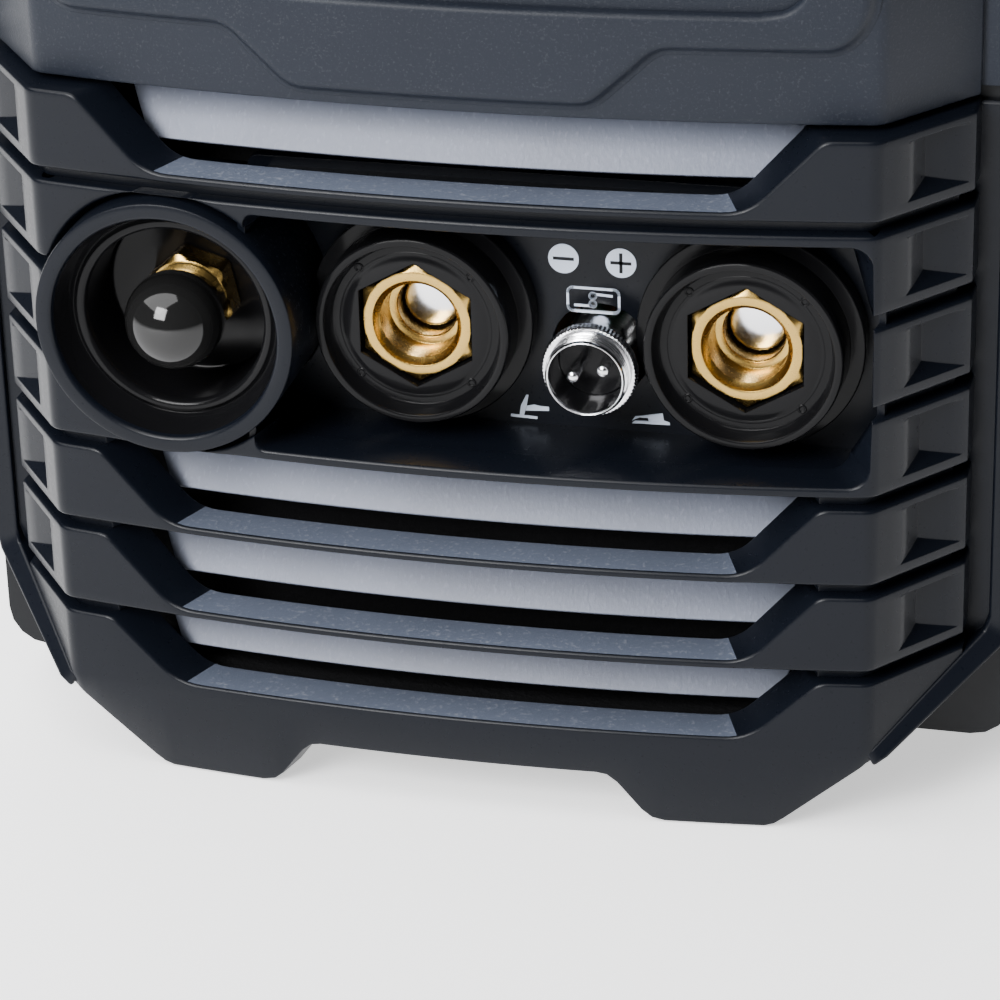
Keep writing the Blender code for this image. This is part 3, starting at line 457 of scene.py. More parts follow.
ALUMINIUM = finish("extruded_aluminium", (0.66, 0.67, 0.68), 0.4, metallic=1.0, grain=900, stretch=(1, 0.05, 1))
COPPER = finish("enamelled_copper", (0.72, 0.30, 0.14), 0.32, metallic=1.0, grain=900, stretch=(1, 1, 6))
FERRITE = finish("ferrite", (0.045, 0.045, 0.05), 0.7, grain=700, grain_depth=0.05)
BOARD = finish("circuit_board", (0.012, 0.11, 0.05), 0.35, grain=600, grain_depth=0.01, mottle=0.3)
DISPLAY = finish("smoked_window", (0.006, 0.007, 0.009), 0.07, grain=300, grain_depth=0.0, rough_spread=0.02,
                 coat=1.0)
HOSE = finish("smooth_hose", (0.016, 0.016, 0.018), 0.35, grain=700, grain_depth=0.01)
SLEEVE = finish("shrunk_sleeve", (0.02, 0.045, 0.10), 0.3, grain=500, grain_depth=0.01)
PRINT = finish("white_print", (0.62, 0.69, 0.82), 0.5, grain=900, grain_depth=0.005, mottle=0.05, edge=0)
# Dull black sheet with a foam-like grain: painted shade put behind the vents where the inside is only dark.
PAINTED_SHADE_SHEET = finish("painted_shade_sheet", (0.004, 0.004, 0.0045), 0.9, grain=700, grain_depth=0.4, mottle=0.4, edge=0,
              specular=0.1)
LED = finish("green_lamp", (0.05, 0.62, 0.14), 0.25, grain=500, grain_depth=0.005)

# The grey_louvre slot gets the louvre finish, whose light colour is a painted reflection.
SLOT_FINISH = {"charcoal": CHARCOAL, "charcoal_textured": HEAD, "black_gloss": GLOSS, "black_rubber": RUBBER,
               "grey_louvre": PAINTED_SHEEN_LOUVRE, "powder_coat": PAINT, "brass": BRASS, "steel": STEEL, "chrome": CHROME,
               "aluminium": ALUMINIUM, "copper": COPPER, "ferrite": FERRITE, "board_green": BOARD,
               "display": DISPLAY, "hose": HOSE, "sleeve": SLEEVE}


def dress_cad():
    """Gives every CAD node its finish."""
    for part in frame["record"]["subparts"]:
        mesh = frame["nodes"][part["node"]].data
        mesh.materials.clear()
        mesh.materials.append(SLOT_FINISH[part["material_slot"]])


# ---------------------------------------------------------------- bezel

def right_wall(s):
    """Wall of the right facets beside the recess: its inside is the recess's straight side."""
    return min(WALL, 0.35 + 0.786 * max(0.0, abs(s) - EDGE))


def left_wall(s):
    """Wall of the left facets beside the cup."""
    return min(WALL, 1.4 + 0.786 * max(0.0, abs(s) - EDGE))


def sill_kinds(stations, column_of_top):
    """Picks the sill material for the top face of the straight part of a vent's bar; that material is a lighter
    copy of the charcoal, painted light falling on the upward face.
    """
    def kinds(row, column):
        flat = max(abs(stations[row]), abs(stations[row + 1])) < VENT_NARROW - 0.5
        return 1 if flat and column == column_of_top else 0
    return kinds


def over_cup(x):
    """Half the height of the opening round the cup at x, or None beside it."""
    across = abs(x - CUP[0])
    return math.sqrt(CUP_GAP ** 2 - across ** 2) if across < CUP_GAP else None


def recess_foot(x):
    """How far the recess's round corners bring its edge in at x."""
    for over, radius in ((x - RECESS_X[1] + RECESS_ROUND, RECESS_ROUND), (RECESS_X[0] + 1.8 - x, 1.8)):
        if over > 0:
            return radius - math.sqrt(max(0.0, radius ** 2 - over ** 2))
    return 0.0


def make_vent_bar(k):
    """A bar with a vent. The first one stands for the whole CAD bezel."""
    top = TOP - PITCH * k
    line = vent_line(top, VENT_DEPTH[k])
    stations = sorted(set(both_sides(FACET_STATIONS + [x for x, z in line]) + SILL_STATIONS))
    bm = bmesh.new()
    # The sill's top faces get the lighter material: painted light on the upward face.
    strip(bm, stations, top - BAR_HEIGHT, along(line), pocketed=True, kinds=sill_kinds(stations, 12))
    piece(f"bezel_bar_{k + 1}", bm, "machine", [CHARCOAL, PAINTED_LIGHT_SILL], ["front_bezel"] if k == 0 else [])


def make_lowest_bar():
    """The lowest bar runs into the skirt with its two feet."""
    k = BARS - 1
    top = TOP - PITCH * k
    line = vent_line(top, VENT_DEPTH[k])
    low_points = [x for x, z in SKIRT_LINE if x < EDGE]
    stations = sorted(set(both_sides(FACET_STATIONS + [x for x, z in line] + low_points) + SILL_STATIONS))
    high = along(line)
    lean_share = 0.13
    loops = []
    for s in stations:
        low = skirt_low(s)
        fold = max(SKIRT_CREASE, low + 1.0)
        lean = lean_share * (fold - low)
        rows = [(WALL, low), (lean + 0.6, low), (lean + 0.18, low + 0.18), (lean, low + 0.6), (0.0, fold),
                (0.0, fold + 0.6)]
        rows += lip(max(high(s), fold + 1.4), 1) + [(WALL, max(high(s), fold + 1.4))]
        loops.append([(*plan(s, t), z) for t, z in rows])
    bm = bmesh.new()
    # The lowest sill's top faces get the same painted light.
    skin(bm, loops, kinds=sill_kinds(stations, 9))
    piece("bezel_skirt", bm, "machine", [CHARCOAL, PAINTED_LIGHT_SILL])


def make_middle_bars():
    """The three bars that the recess and the cup interrupt, and the grooves between them."""
    right = [s for s in FACET_STATIONS if s >= EDGE]
    left_end = -(EDGE - ROUND)
    left = sorted(-s for s in FACET_STATIONS)

    upper_low = TOP - PITCH - BAR_HEIGHT
    upper_high = TOP - PITCH

    def upper(s):
        if s >= RECESS_X[1] - 0.05 or s <= CUP[0] - CUP_GAP:
            return upper_low
        if s > RECESS_X[0]:
            return RECESS_Z[1] - recess_foot(s)
        height = over_cup(s)
        return min(upper_high - 0.02, max(upper_low, CUP[1] + height)) if height else upper_low

    lower_low = TOP - 3 * PITCH - BAR_HEIGHT
    lower_high = TOP - 3 * PITCH

    def lower(s):
        if s >= RECESS_X[1] - 0.05 or s <= CUP[0] - CUP_GAP:
            return lower_high
        if s > RECESS_X[0]:
            return RECESS_Z[0] + recess_foot(s)
        height = over_cup(s)
        return max(lower_low + 0.02, min(lower_high, CUP[1] - height)) if height else lower_high

    def wall(s):
        if s >= RECESS_X[1] - 0.05:
            return right_wall(s)
        return left_wall(s) if s <= left_end else WALL

    cup_line = [CUP[0] + CUP_GAP * math.cos(math.radians(a)) for a in range(54, 176, 4)]
    cup_line = [x for x in cup_line if -EDGE + ROUND + 0.3 < x < RECESS_X[0] - 0.3]
    cup_line += [RECESS_X[0] + 0.1 + 0.42 * i for i in range(5)]
    turn = [RECESS_X[1] - RECESS_ROUND + RECESS_ROUND * math.sin(math.radians(15 * i)) for i in range(6)]
    middle = [x for x in FRONT_STATIONS if RECESS_X[0] < x < RECESS_X[1] - RECESS_ROUND]
    stations = sorted(set(left + cup_line + [RECESS_X[0] - 0.02, RECESS_X[0] + 0.02] + middle + turn
                          + [RECESS_X[1] - 0.1, RECESS_X[1] + 0.1] + right))
    bm = bmesh.new()
    strip(bm, stations, upper, upper_high, wall, pocketed=True)
    piece("bezel_bar_2", bm, "machine", [CHARCOAL])
    bm = bmesh.new()
    strip(bm, stations, lower_low, lower, wall, pocketed=True)
    piece("bezel_bar_4", bm, "machine", [CHARCOAL])

    bm = bmesh.new()
    level = TOP - 2 * PITCH
    strip(bm, right, level - BAR_HEIGHT, level, right_wall, pocketed=True)
    strip(bm, left, level - BAR_HEIGHT, level, left_wall, pocketed=True)
    piece("bezel_bar_3", bm, "machine", [CHARCOAL])

    bm = bmesh.new()
    for k in (1, 2):
        level = TOP - PITCH * (k + 1)
        groove(bm, [s for s in right if s > EDGE + 2.6], level, level + PITCH - BAR_HEIGHT, right_wall)
        groove(bm, left, level, level + PITCH - BAR_HEIGHT, left_wall)
    full = sorted(set(left + FRONT_STATIONS + FACET_STATIONS))
    groove(bm, full, upper_high, upper_high + PITCH - BAR_HEIGHT)
    for k in (4, 5, 6):
        level = TOP - PITCH * k
        ends = [VENT_WIDE + 0.6, 65.5] + FACET_STATIONS
        for side in (-1, 1):
            groove(bm, sorted(side * s for s in ends), level, level + PITCH - BAR_HEIGHT)
    piece("bezel_grooves", bm, "machine", [CHARCOAL])


def make_recess_walls():
    """The walls round the connectors, from behind the bars back to the panel. The cup closes the left end."""
    low, high = RECESS_Z[0] - 0.05, RECESS_Z[1] + 0.05
    left, right = RECESS_X[0], RECESS_X[1] + 0.3
    line = [(left, high - 5.4), (left, high), (right - 3.0, high), (right - 0.9, high - 0.9),
            (right, high - 3.0), (right, low + 3.0), (right - 0.9, low + 0.9), (right - 3.0, low), (left, low),
            (left, low + 5.4)]
    outer = [(left - 1.2, high - 5.4), (left - 1.2, high + 1.2), (right - 2.6, high + 1.2),
             (right + 0.2, high + 0.2), (right + 1.2, high - 2.6), (right + 1.2, low + 2.6),
             (right + 0.2, low - 0.2), (right - 2.6, low - 1.2), (left - 1.2, low - 1.2),
             (left - 1.2, low + 5.4)]
    right_end, back, long_side, parts = 3.0, RECESS_FLOOR + 1, 60, 20
    corners = []
    for (x0, z0), (x1, z1) in zip(line, outer):
        face = right_end if x0 > long_side else bow_at(x0) + 1.2
        corners.append([(x0, face, z0), (x0, back, z0), (x1, back, z1), (x1, face, z1)])
    loops = []
    for start, end in zip(corners, corners[1:]):
        loops.append(start)
        if abs(start[0][0] - end[0][0]) > long_side:
            for i in range(1, parts):
                share = i / parts
                loop = [tuple(p + (q - p) * share for p, q in zip(u, v)) for u, v in zip(start, end)]
                face = min(right_end, bow_at(loop[0][0]) + 1.2)
                loops.append([(x, face if j in (0, 3) else y, z) for j, (x, y, z) in enumerate(loop)])
    bm = bmesh.new()
    skin(bm, loops + [corners[-1]])
    piece("recess_walls", bm, "machine", [CHARCOAL])


def make_rim():
    """The raised rim behind each facet, which runs forward along the slanted lower corner."""
    back = BACK + 0.7
    for side, word in ((-1, "left"), (1, "right")):
        inner = [(87.0, 21.0, TOP), (87.0, 21.0, 33.0), (86.2, 20.0, 30.4), (70.9, 0.9, 16.9), (69.6, 0.2, 15.8)]
        outer = [(91.0, 21.0, TOP), (91.0, 21.0, 31.0), (90.4, 20.6, 28.6), (73.2, 0.9, 14.9), (71.0, 0.3, 13.2)]
        loops = []
        for (x0, y0, z0), (x1, y1, z1) in zip(inner, outer):
            loops.append([(side * x0, y0, z0), (side * x1, y1, z1),
                          (side * x1, back, z1), (side * x0, back, z0)])
        bm = bmesh.new()
        skin(bm, loops)
        prism(bm, [(side * x, z) for x, z in ((76, 19.0), (90.4, 30.0), (90.4, TOP - 0.5), (76, TOP - 0.5))],
              22.4, back)
        piece(f"bezel_rim_{word}", bm, "machine", [CHARCOAL], bevel=0.7)


def make_cup():
    """The round cup for the gas outlet, proud of the bars."""
    f = CUP_FRONT
    profile = [(RECESS_FLOOR + 1.5, CUP_OUTER), (f + 3.0, CUP_OUTER), (f + 0.55, CUP_OUTER - 0.02),
               (f + 0.16, CUP_OUTER - 0.18), (f, CUP_OUTER - 0.6), (f, 20.1), (f + 0.14, 19.72), (f + 0.5, 19.5),
               (f + 1.2, 19.4), (0.0, 17.9), (0.3, 17.65), (0.1, 17.3), (-0.25, 16.9), (-0.25, 16.2),
               (0.0, 15.75), (0.5, 15.5), (1.4, 15.4), (12.6, 15.1), (13.0, 14.6), (13.0, 4.2), (14.5, 4.2),
               (14.5, CUP_OUTER - 2)]
    bm = bmesh.new()
    turned(bm, profile, CUP, 96, closed=True)
    for face in bm.faces:
        middle = face.calc_center_median() / MM
        inside = math.hypot(middle.x - CUP[0], middle.z - CUP[1]) < 19.35 and middle.y - FRONT > CUP_FRONT + 1
        face.material_index = 1 if inside else 0
    piece("gas_cup", bm, "machine", [CHARCOAL, GLOSS], sharp=40)


def louvre(bm, sill, top):
    """A slanted, bowed plate in a vent with a lip folded back at its foot."""
    half_top, y_top = 52.6 + 0.52 * (top - sill - 2), 11.0 + 0.6 * (top - sill - 2)
    stations = [-1 + i / 12 for i in range(25)]
    loops = []
    for share in stations:
        section = [(52.5, 11.2, sill + 1.75), (52.6, 11.0, sill + 2.0), (half_top, y_top, top),
                   (half_top, y_top + 1.3, top - 0.2), (52.8, 12.6, sill + 2.0), (52.8, 14.5, sill + 1.2),
                   (52.6, 14.4, sill + 0.6)]
        loops.append([(half * share, bow_at(half * share) + y, z) for half, y, z in section])
    skin(bm, loops)


def make_vents():
    """The plates behind the vents, and black sheets behind them that close the view inside: painted shade
    standing in for the dark interior, with a black shelf under the lowest vent.
    """
    sills = {k: TOP - PITCH * k - depth for k, depth in VENT_DEPTH.items()}
    # The plates' light colour is a painted reflection of the light above.
    bm = bmesh.new()
    louvre(bm, sills[0], sills[0] + 12.4)
    piece("vent_plate_upper", bm, "machine", [PAINTED_SHEEN_LOUVRE], ["upper_louvre"])
    bm = bmesh.new()
    for k in (4, 5, 6):
        louvre(bm, sills[k], sills[k] + (9.4 if k == 6 else 10.4))
    piece("vent_plates_lower", bm, "machine", [PAINTED_SHEEN_LOUVRE], ["lower_louvre"])
    # Black sheets of painted shade behind the vents, and under the lowest vent a black shelf of the same.
    for word, low, high in (("upper", sills[0] - 6, sills[0] + 11), ("lower", 11.0, 60.0)):
        bm = bmesh.new()
        prism(bm, rounded(-64, low, 64, high, 2.0), 20.2, 21.6)
        if word == "lower":
            skin(bm, [[(x, bow_at(x) + y, z) for y, z in ((6.0, 14.2), (6.0, 15.2), (26.0, 15.2), (26.0, 14.2))]
                      for x in FRONT_STATIONS if abs(x) < 62])
        piece(f"vent_shade_sheet_{word}", bm, "machine", [PAINTED_SHADE_SHEET])


# ---------------------------------------------------------------- head

def panel_edge():
    """Outline of the raised middle of the head, counter-clockwise from the middle of its foot."""
    half = filleted([(0, 128.8), (24.6, 128.8), (35.3, 138.7), (64.6, 138.7), (68.6, 144.5), (68.6, 249.0),
                     (62.0, 256.0), (0, 256.0)], [2.5, 2.5, 3.4, 3.4, 4.0, 4.0], 5)
    points = []
    for start, end in zip(half, half[1:]):
        parts = max(1, int(math.dist(start, end) / 4.0))
        points += [(start[0] + (end[0] - start[0]) * i / parts,
                    start[1] + (end[1] - start[1]) * i / parts) for i in range(parts)]
    points.append(half[-1])
    return points + [(-x, z) for x, z in reversed(points[1:-1])]


def grown(outline, distance):
    """The outline moved outward by a distance."""
    out = []
    for i, here in enumerate(outline):
        before, after = outline[i - 1], outline[(i + 1) % len(outline)]
        run = (Vector(after) - Vector(before)).normalized()
        out.append((here[0] + run.y * distance, here[1] - run.x * distance))
    return out


def well_edge(point, grow):
    """Where the line from the well's middle to a point crosses the well's rounded edge."""
    half, radius = WELL_HALF + Vector((grow, grow)), WELL_ROUND + grow
    aim = Vector(point) - WELL_MIDDLE
    near, far = 0.0, 1.0
    for _ in range(30):
        share = (near + far) / 2
        p = aim * share
        over = Vector((max(abs(p.x) - half.x + radius, 0), max(abs(p.y) - half.y + radius, 0)))
        near, far = (share, far) if over.length < radius else (near, share)
    return tuple(WELL_MIDDLE + aim * near)


def make_head_ground():
    """The head's lower ground: a band under the raised middle and a strip on either side of it."""
    bm = bmesh.new()
    facets = [s for s in FACET_STATIONS if s <= FACET_END]
    across = sorted(set(FRONT_STATIONS + both_sides(facets)))
    band_top, head_top = 147.0, 254.0
    bands = [(across, HEAD_FOOT, band_top)]
    for side in (-1, 1):
        bands.append(([s * side for s in [66.5] + facets][::side], band_top - 0.1, head_top))
    for stations, low, high in bands:
        start = [(0.6, low), (0.18, low + 0.18), (0.0, low + 0.6)] if low == HEAD_FOOT else [(0.0, low)]
        loops = []
        for s in stations:
            rows = [(5.4, low)] + start + [(0.0, high), (5.4, high)]
            loops.append([(x, y + HEAD_GROUND, z) for t, z in rows for x, y in [plan(s, t)]])
        skin(bm, loops)
    piece("head_ground", bm, "machine", [HEAD])


def make_head_panel():
    """The raised middle, from its foot on the ground over its face and into the well."""
    outline = panel_edge()
    levels = [(1.3, HEAD_GROUND + 0.4), (1.3, HEAD_GROUND - 0.04), (0.65, HEAD_GROUND - 0.2),
              (0.2, HEAD_GROUND - 0.7), (-0.1, HEAD_RAISED + 0.6), (-0.5, HEAD_RAISED + 0.2),
              (-1.1, HEAD_RAISED + 0.02), (-1.7, HEAD_RAISED)]
    loops = [[(x, bow_at(x) + y, z) for x, z in grown(outline, d)] for d, y in levels]
    inner = [well_edge(p, 1.3) for p in outline]
    border = grown(outline, -1.7)
    rings = 6
    for i in range(1, rings + 1):
        share = i / rings
        ring = [(x0 + (x1 - x0) * share, z0 + (z1 - z0) * share) for (x0, z0), (x1, z1) in zip(border, inner)]
        loops.append([(x, bow_at(x) + HEAD_RAISED, z) for x, z in ring])
    for grow, y in ((0.8, HEAD_RAISED + 0.06), (0.35, HEAD_RAISED + 0.3), (0.0, HEAD_RAISED + 0.9)):
        loops.append([(x, bow_at(x) + y, z) for x, z in (well_edge(p, grow) for p in outline)])
    for grow in (0.0, 1.2):
        loops.append([(x, WELL_BACK, z) for x, z in (well_edge(p, grow) for p in outline)])
    bm = bmesh.new()
    skin(bm, loops, closed=True)
    piece("head_panel", bm, "machine", [HEAD], sharp=60)


# ---------------------------------------------------------------- prints

def stroke(bm, points, width, y0, y1):
    """A raised line of even width through points."""
    for start, end in zip(points, points[1:]):
        a, b = Vector(start), Vector(end)
        along_line = (b - a).normalized() * width / 2
        side = Vector((-along_line.y, along_line.x))
        a, b = a - along_line * 0.6, b + along_line * 0.6
        prism(bm, [tuple(a + side), tuple(a - side), tuple(b - side), tuple(b + side)], y0, y1)


def make_prints():
    """Signs beside the connectors: minus, plus, the trigger switch, a torch and an earth clamp."""
    top, panel = RECESS_FLOOR - PRINT_RISE, RECESS_FLOOR + 0.2
    bm = bmesh.new()
    for centre in (MINUS, PLUS):
        prism(bm, circle(centre, 2.6, 36), top, panel)
    frame_line = rounded(16.5, 86.1, 25.2, 90.3, 0.9, 4)
    stroke(bm, frame_line + frame_line[:1], 0.42, top, panel)
    for centre in ((20.75, 87.5), (20.75, 88.95)):
        ring = circle(centre, 0.55, 14)
        stroke(bm, ring + ring[:1], 0.34, top, panel)
    stroke(bm, [(17.7, 87.15), (20.4, 87.15)], 0.42, top, panel)
    stroke(bm, [(21.2, 89.3), (24.0, 89.15)], 0.42, top, panel)
    handle = [(7.75, 66.22), (8.53, 66.28), (9.05, 68.14), (9.38, 70.03), (8.99, 70.0), (8.06, 68.06)]
    nozzle = [(8.84, 67.12), (12.87, 67.39), (12.87, 68.09), (11.37, 68.11), (10.34, 68.33), (9.05, 68.0)]
    lower_jaw = [(27.15, 66.39), (33.62, 66.56), (33.57, 67.02), (32.64, 67.28), (30.77, 66.96),
                 (27.67, 66.93)]
    upper_jaw = [(27.15, 66.83), (27.67, 67.66), (32.38, 68.6), (32.58, 67.28), (30.0, 66.9), (29.87, 67.56),
                 (28.45, 67.55), (27.62, 67.15)]
    for outline in (handle, nozzle):
        prism(bm, outline, top, panel)
    stroke(bm, [(6.36, 66.05), (10.7, 65.93)], 0.45, top, panel)
    for outline in (lower_jaw, upper_jaw):
        prism(bm, outline, top, panel)
    piece("panel_prints", bm, "machine", [PRINT], sharp=30)
    bm = bmesh.new()
    for x, z in (MINUS, PLUS):
        stroke(bm, [(x - 1.6, z), (x + 1.6, z)], 0.55, top - 0.05, panel)
    stroke(bm, [(PLUS[0], 93.6), (PLUS[0], 96.8)], 0.55, top - 0.05, panel)
    piece("print_signs", bm, "machine", [CHARCOAL], sharp=30)


# ---------------------------------------------------------------- connectors

def make_power_socket(word):
    """A twist-lock socket: a turned moulding with a hexagonal pocket, the brass contact and the screw behind."""
    centre = middle_of(f"{word}_socket_contact")
    rim = 16.6
    bm = bmesh.new()
    profile = [(14.6, 19.0), (10.9, 19.1), (10.7, 18.9), (10.7, rim), (5.0, rim), (4.3, rim - 0.1),
               (4.05, rim - 0.35), (4.0, rim - 0.75), (4.0, rim - 1.15), (4.12, rim - 1.45), (4.5, rim - 1.6), (6.6, rim - 2.0),
               (7.0, rim - 2.4), (7.0, 12.6)]
    turned(bm, profile + [(14.6, 12.6)], centre, 96, closed=True)
    loops = []
    hexagon = hexagonal(19.2)
    for y, reach, shape in ((7.0, 13.0, None), (6.9, 12.0, None), (6.75, 11.6, None), (6.75, 0, hexagon),
                            (30.0, 0, hexagon), (30.0, 13.0, None)):
        loop = []
        for i in range(96):
            a = 2 * math.pi * i / 96
            r = shape(a) if shape else reach
            loop.append((centre[0] + r * math.cos(a), y, centre[1] + r * math.sin(a)))
        loops.append(loop)
    skin(bm, loops, closed=True)
    for x, z in circle(centre, 13.4, 4, math.radians(44)):
        ring = [(6.98 - 0.16 * math.sin(a), 0.62 + 0.16 * math.cos(a)) for a in
                (math.radians(60 * i) for i in range(6))]
        turned(bm, ring, (x, z), 16, closed=True)
    piece(f"{word}_socket_moulding", bm, "machine", [GLOSS], [f"{word}_socket_housing"])

    bm = bmesh.new()
    body = hexagonal(18.4)
    profile = [(40.0, 20.0), (8.15, 20.0), (7.68, 9.25), (7.6, 9.0), (7.6, 7.85), (7.68, 7.62), (8.3, 7.3),
               (9.0, 6.65), (14.4, 6.55), (14.6, 5.9), (14.6, 5.4), (14.9, 5.2), (21.0, 5.2), (40.0, 5.2)]
    turned(bm, profile, centre, 96, closed=True, shape=body)
    piece(f"{word}_socket_brass", bm, "machine", [BRASS], [f"{word}_socket_contact"], sharp=28)
    bm = bmesh.new()
    turned(bm, [(18.6, 4.7), (18.0, 4.7), (17.8, 4.45), (17.7, 4.0), (17.66, 0.4)], centre, 48)
    piece(f"{word}_socket_screw_face", bm, "machine", [STEEL])


def make_control_socket():
    """The round two-pin socket: a threaded chrome shell on a knurled ring, with its pins a little turned."""
    centre = middle_of("control_socket_shell")
    bm = bmesh.new()
    thread = []
    for i in range(6):
        thread += [(3.4 + 0.68 * i, 6.6), (3.65 + 0.68 * i, 6.95), (3.85 + 0.68 * i, 6.95)]
    profile = [(24.0, 6.5), (8.0, 6.5), (7.8, 6.6)] + thread[::-1]
    profile += [(3.1, 6.6), (2.8, 6.5), (2.7, 6.4), (2.7, 6.3), (2.85, 6.2), (3.4, 6.1), (24.0, 6.1)]
    turned(bm, profile, centre, 72, closed=True)
    loops = []
    for y, inner, outer in ((7.6, 6.6, 8.1), (6.0, 6.6, 8.1), (5.7, 6.6, 7.8), (5.7, 6.6, 6.6), (7.6, 6.6, 6.6)):
        ring = []
        for i in range(144):
            a = 2 * math.pi * i / 144
            r = outer if inner == outer or i % 2 else outer - 0.2
            ring.append((centre[0] + r * math.cos(a), y, centre[1] + r * math.sin(a)))
        loops.append(ring)
    skin(bm, loops, closed=True)
    piece("control_socket_chrome", bm, "machine", [CHROME], ["control_socket_shell"], sharp=30)
    bm = bmesh.new()
    turned(bm, [(24.0, 6.12), (10.4, 6.12), (10.2, 5.9), (10.2, 0.3)], centre, 48)
    piece("control_socket_floor", bm, "machine", [GLOSS], ["control_socket_insert"])
    for word, turn in (("left", 196), ("right", 16)):
        bm = bmesh.new()
        a = math.radians(turn)
        middle = (centre[0] + 2.65 * math.cos(a), centre[1] + 2.65 * math.sin(a))
        turned(bm, [(24.0, 1.0), (5.2, 1.0), (4.8, 0.9), (4.55, 0.6), (4.45, 0.2)], middle, 24)
        piece(f"control_pin_{word}", bm, "machine", [STEEL], [f"control_socket_pin_{word}"])


def make_gas_cap():
    """The glossy pull-off cap and the brass fitting under it."""
    bm = bmesh.new()
    ball, centre_y = 8.35, 0.4
    hung = (CUP[0], CUP[1] - 0.7)
    dome = [(centre_y - ball * math.cos(math.radians(a)), ball * math.sin(math.radians(a)))
            for a in range(6, 120, 6)]
    profile = dome + [(7.0, 7.2), (7.2, 7.0), (7.2, 5.3), (0.0, 5.25), (-0.5, 4.0)]
    turned(bm, profile, hung, 64)
    piece("gas_cap_rubber", bm, "gas_cap", [RUBBER], ["gas_outlet_cap"], sharp=50)

    bm = bmesh.new()
    hexagon = hexagonal(14.0, math.radians(12))
    profile = [(1.0, 2.0), (1.0, 3.4), (1.8, 4.4), (7.5, 4.4), (7.5, 6.6), (7.6, 6.9), (8.1, 20.0),
               (12.7, 20.0), (12.9, 4.4), (40.5, 4.4), (40.5, 2.0)]
    turned(bm, profile, CUP, 72, closed=True, shape=hexagon)
    piece("gas_outlet_brass", bm, "machine", [BRASS], ["gas_outlet_fitting"], sharp=28)


# ---------------------------------------------------------------- control panel

def make_knob():
    """A fluted knob with a dished face and a pointer line."""
    centre, face, skirt = middle_of("control_knob"), face_of("control_knob"), face_of("control_knob") + 15.4
    profile = [(face + 0.7, 0.3), (face + 0.6, 7.0), (face, 12.6), (face + 0.1, 13.3), (face + 0.6, 13.9),
               (face + 2.0, 15.0), (face + 2.4, 15.3), (skirt - 3.6, 16.2), (skirt - 3.2, 16.4),
               (skirt - 2.9, 17.5), (skirt - 2.4, 18.0), (skirt - 0.4, 18.0), (skirt, 17.6), (skirt, 12.0), (skirt - 3, 12.0),
               (skirt - 3, 3.2)]
    loops = []
    for y, radius in profile:
        fluted = face + 1.0 < y < skirt - 3.4
        loop = []
        for i in range(144):
            a = 2 * math.pi * i / 144
            r = radius - (0.35 * (1 + math.cos(36 * a)) if fluted else 0)
            loop.append((centre[0] + r * math.cos(a), y, centre[1] + r * math.sin(a)))
        loops.append(loop)
    bm = bmesh.new()
    skin(bm, loops)
    piece("knob_grip", bm, "knob", [GLOSS], ["control_knob"], sharp=50)
    bm = bmesh.new()
    prism(bm, rounded(centre[0] - 0.6, centre[1] + 6.4, centre[0] + 0.6, centre[1] + 13.0, 0.5, 3), face - 0.05,
          face + 1.2)
    piece("knob_pointer", bm, "knob", [PRINT])


def seven_segment(bm, digit, x, z, high, y):
    """One digit of the display, of bars with pointed ends."""
    wide, bar = high * 0.5, high * 0.1
    ends = {"a": ((0, 2), (1, 2)), "b": ((1, 2), (1, 1)), "c": ((1, 1), (1, 0)), "d": ((0, 0), (1, 0)),
            "e": ((0, 1), (0, 0)), "f": ((0, 2), (0, 1)), "g": ((0, 1), (1, 1))}
    lit = {"0": "abcdef", "1": "bc", "6": "afgedc"}[digit]
    for name in lit:
        (u0, v0), (u1, v1) = ends[name]
        a = Vector((x + u0 * wide, z + v0 * high / 2))
        b = Vector((x + u1 * wide, z + v1 * high / 2))
        run = (b - a).normalized() * bar
        side = Vector((-run.y, run.x)) * 0.5
        a, b = a + run * 0.6, b - run * 0.6
        prism(bm, [tuple(p) for p in (a, a + run / 2 - side, b - run / 2 - side, b, b - run / 2 + side,
                                      a + run / 2 + side)], y - MARK_RISE, y + MARK_SUNK)


def make_panel_marks():
    """Lit digits, tick marks round the knob, lamps and plain marks beside the buttons."""
    window, panel = face_of("display_window"), face_of("control_overlay")
    x, z = middle_of("display_window")
    bm = bmesh.new()
    for i, digit in enumerate("160"):
        seven_segment(bm, digit, x - 16.5 + 12.5 * i, z - 8, 16.0, window)
    piece("display_digits", bm, "machine", [LED])

    centre = middle_of("control_knob")
    bm = bmesh.new()
    for i in range(11):
        a = math.radians(240 - 30 * i)
        inner, outer = (20.3, 23.6 if i % 5 == 0 else 22.4)
        stroke(bm, [(centre[0] + r * math.cos(a), centre[1] + r * math.sin(a)) for r in (inner, outer)], 0.6,
               panel - MARK_RISE, panel + MARK_SUNK)
    lamps = bmesh.new()
    for word in ("left_upper", "left_lower", "right_upper", "right_lower"):
        x, z = middle_of(f"button_{word}")
        stroke(bm, [(x - 3.4, z - 7.0), (x + 3.4, z - 7.0)], 0.5, panel - MARK_RISE, panel + MARK_SUNK)
        turned(lamps, [(panel + 0.1, 1.2), (panel - 0.3, 1.15), (panel - 0.6, 0.85), (panel - 0.75, 0.3)],
               (x, z + 8.0), 20)
    piece("panel_marks", bm, "machine", [PRINT])
    piece("panel_lamps", lamps, "machine", [LED])


# ---------------------------------------------------------------- fasteners

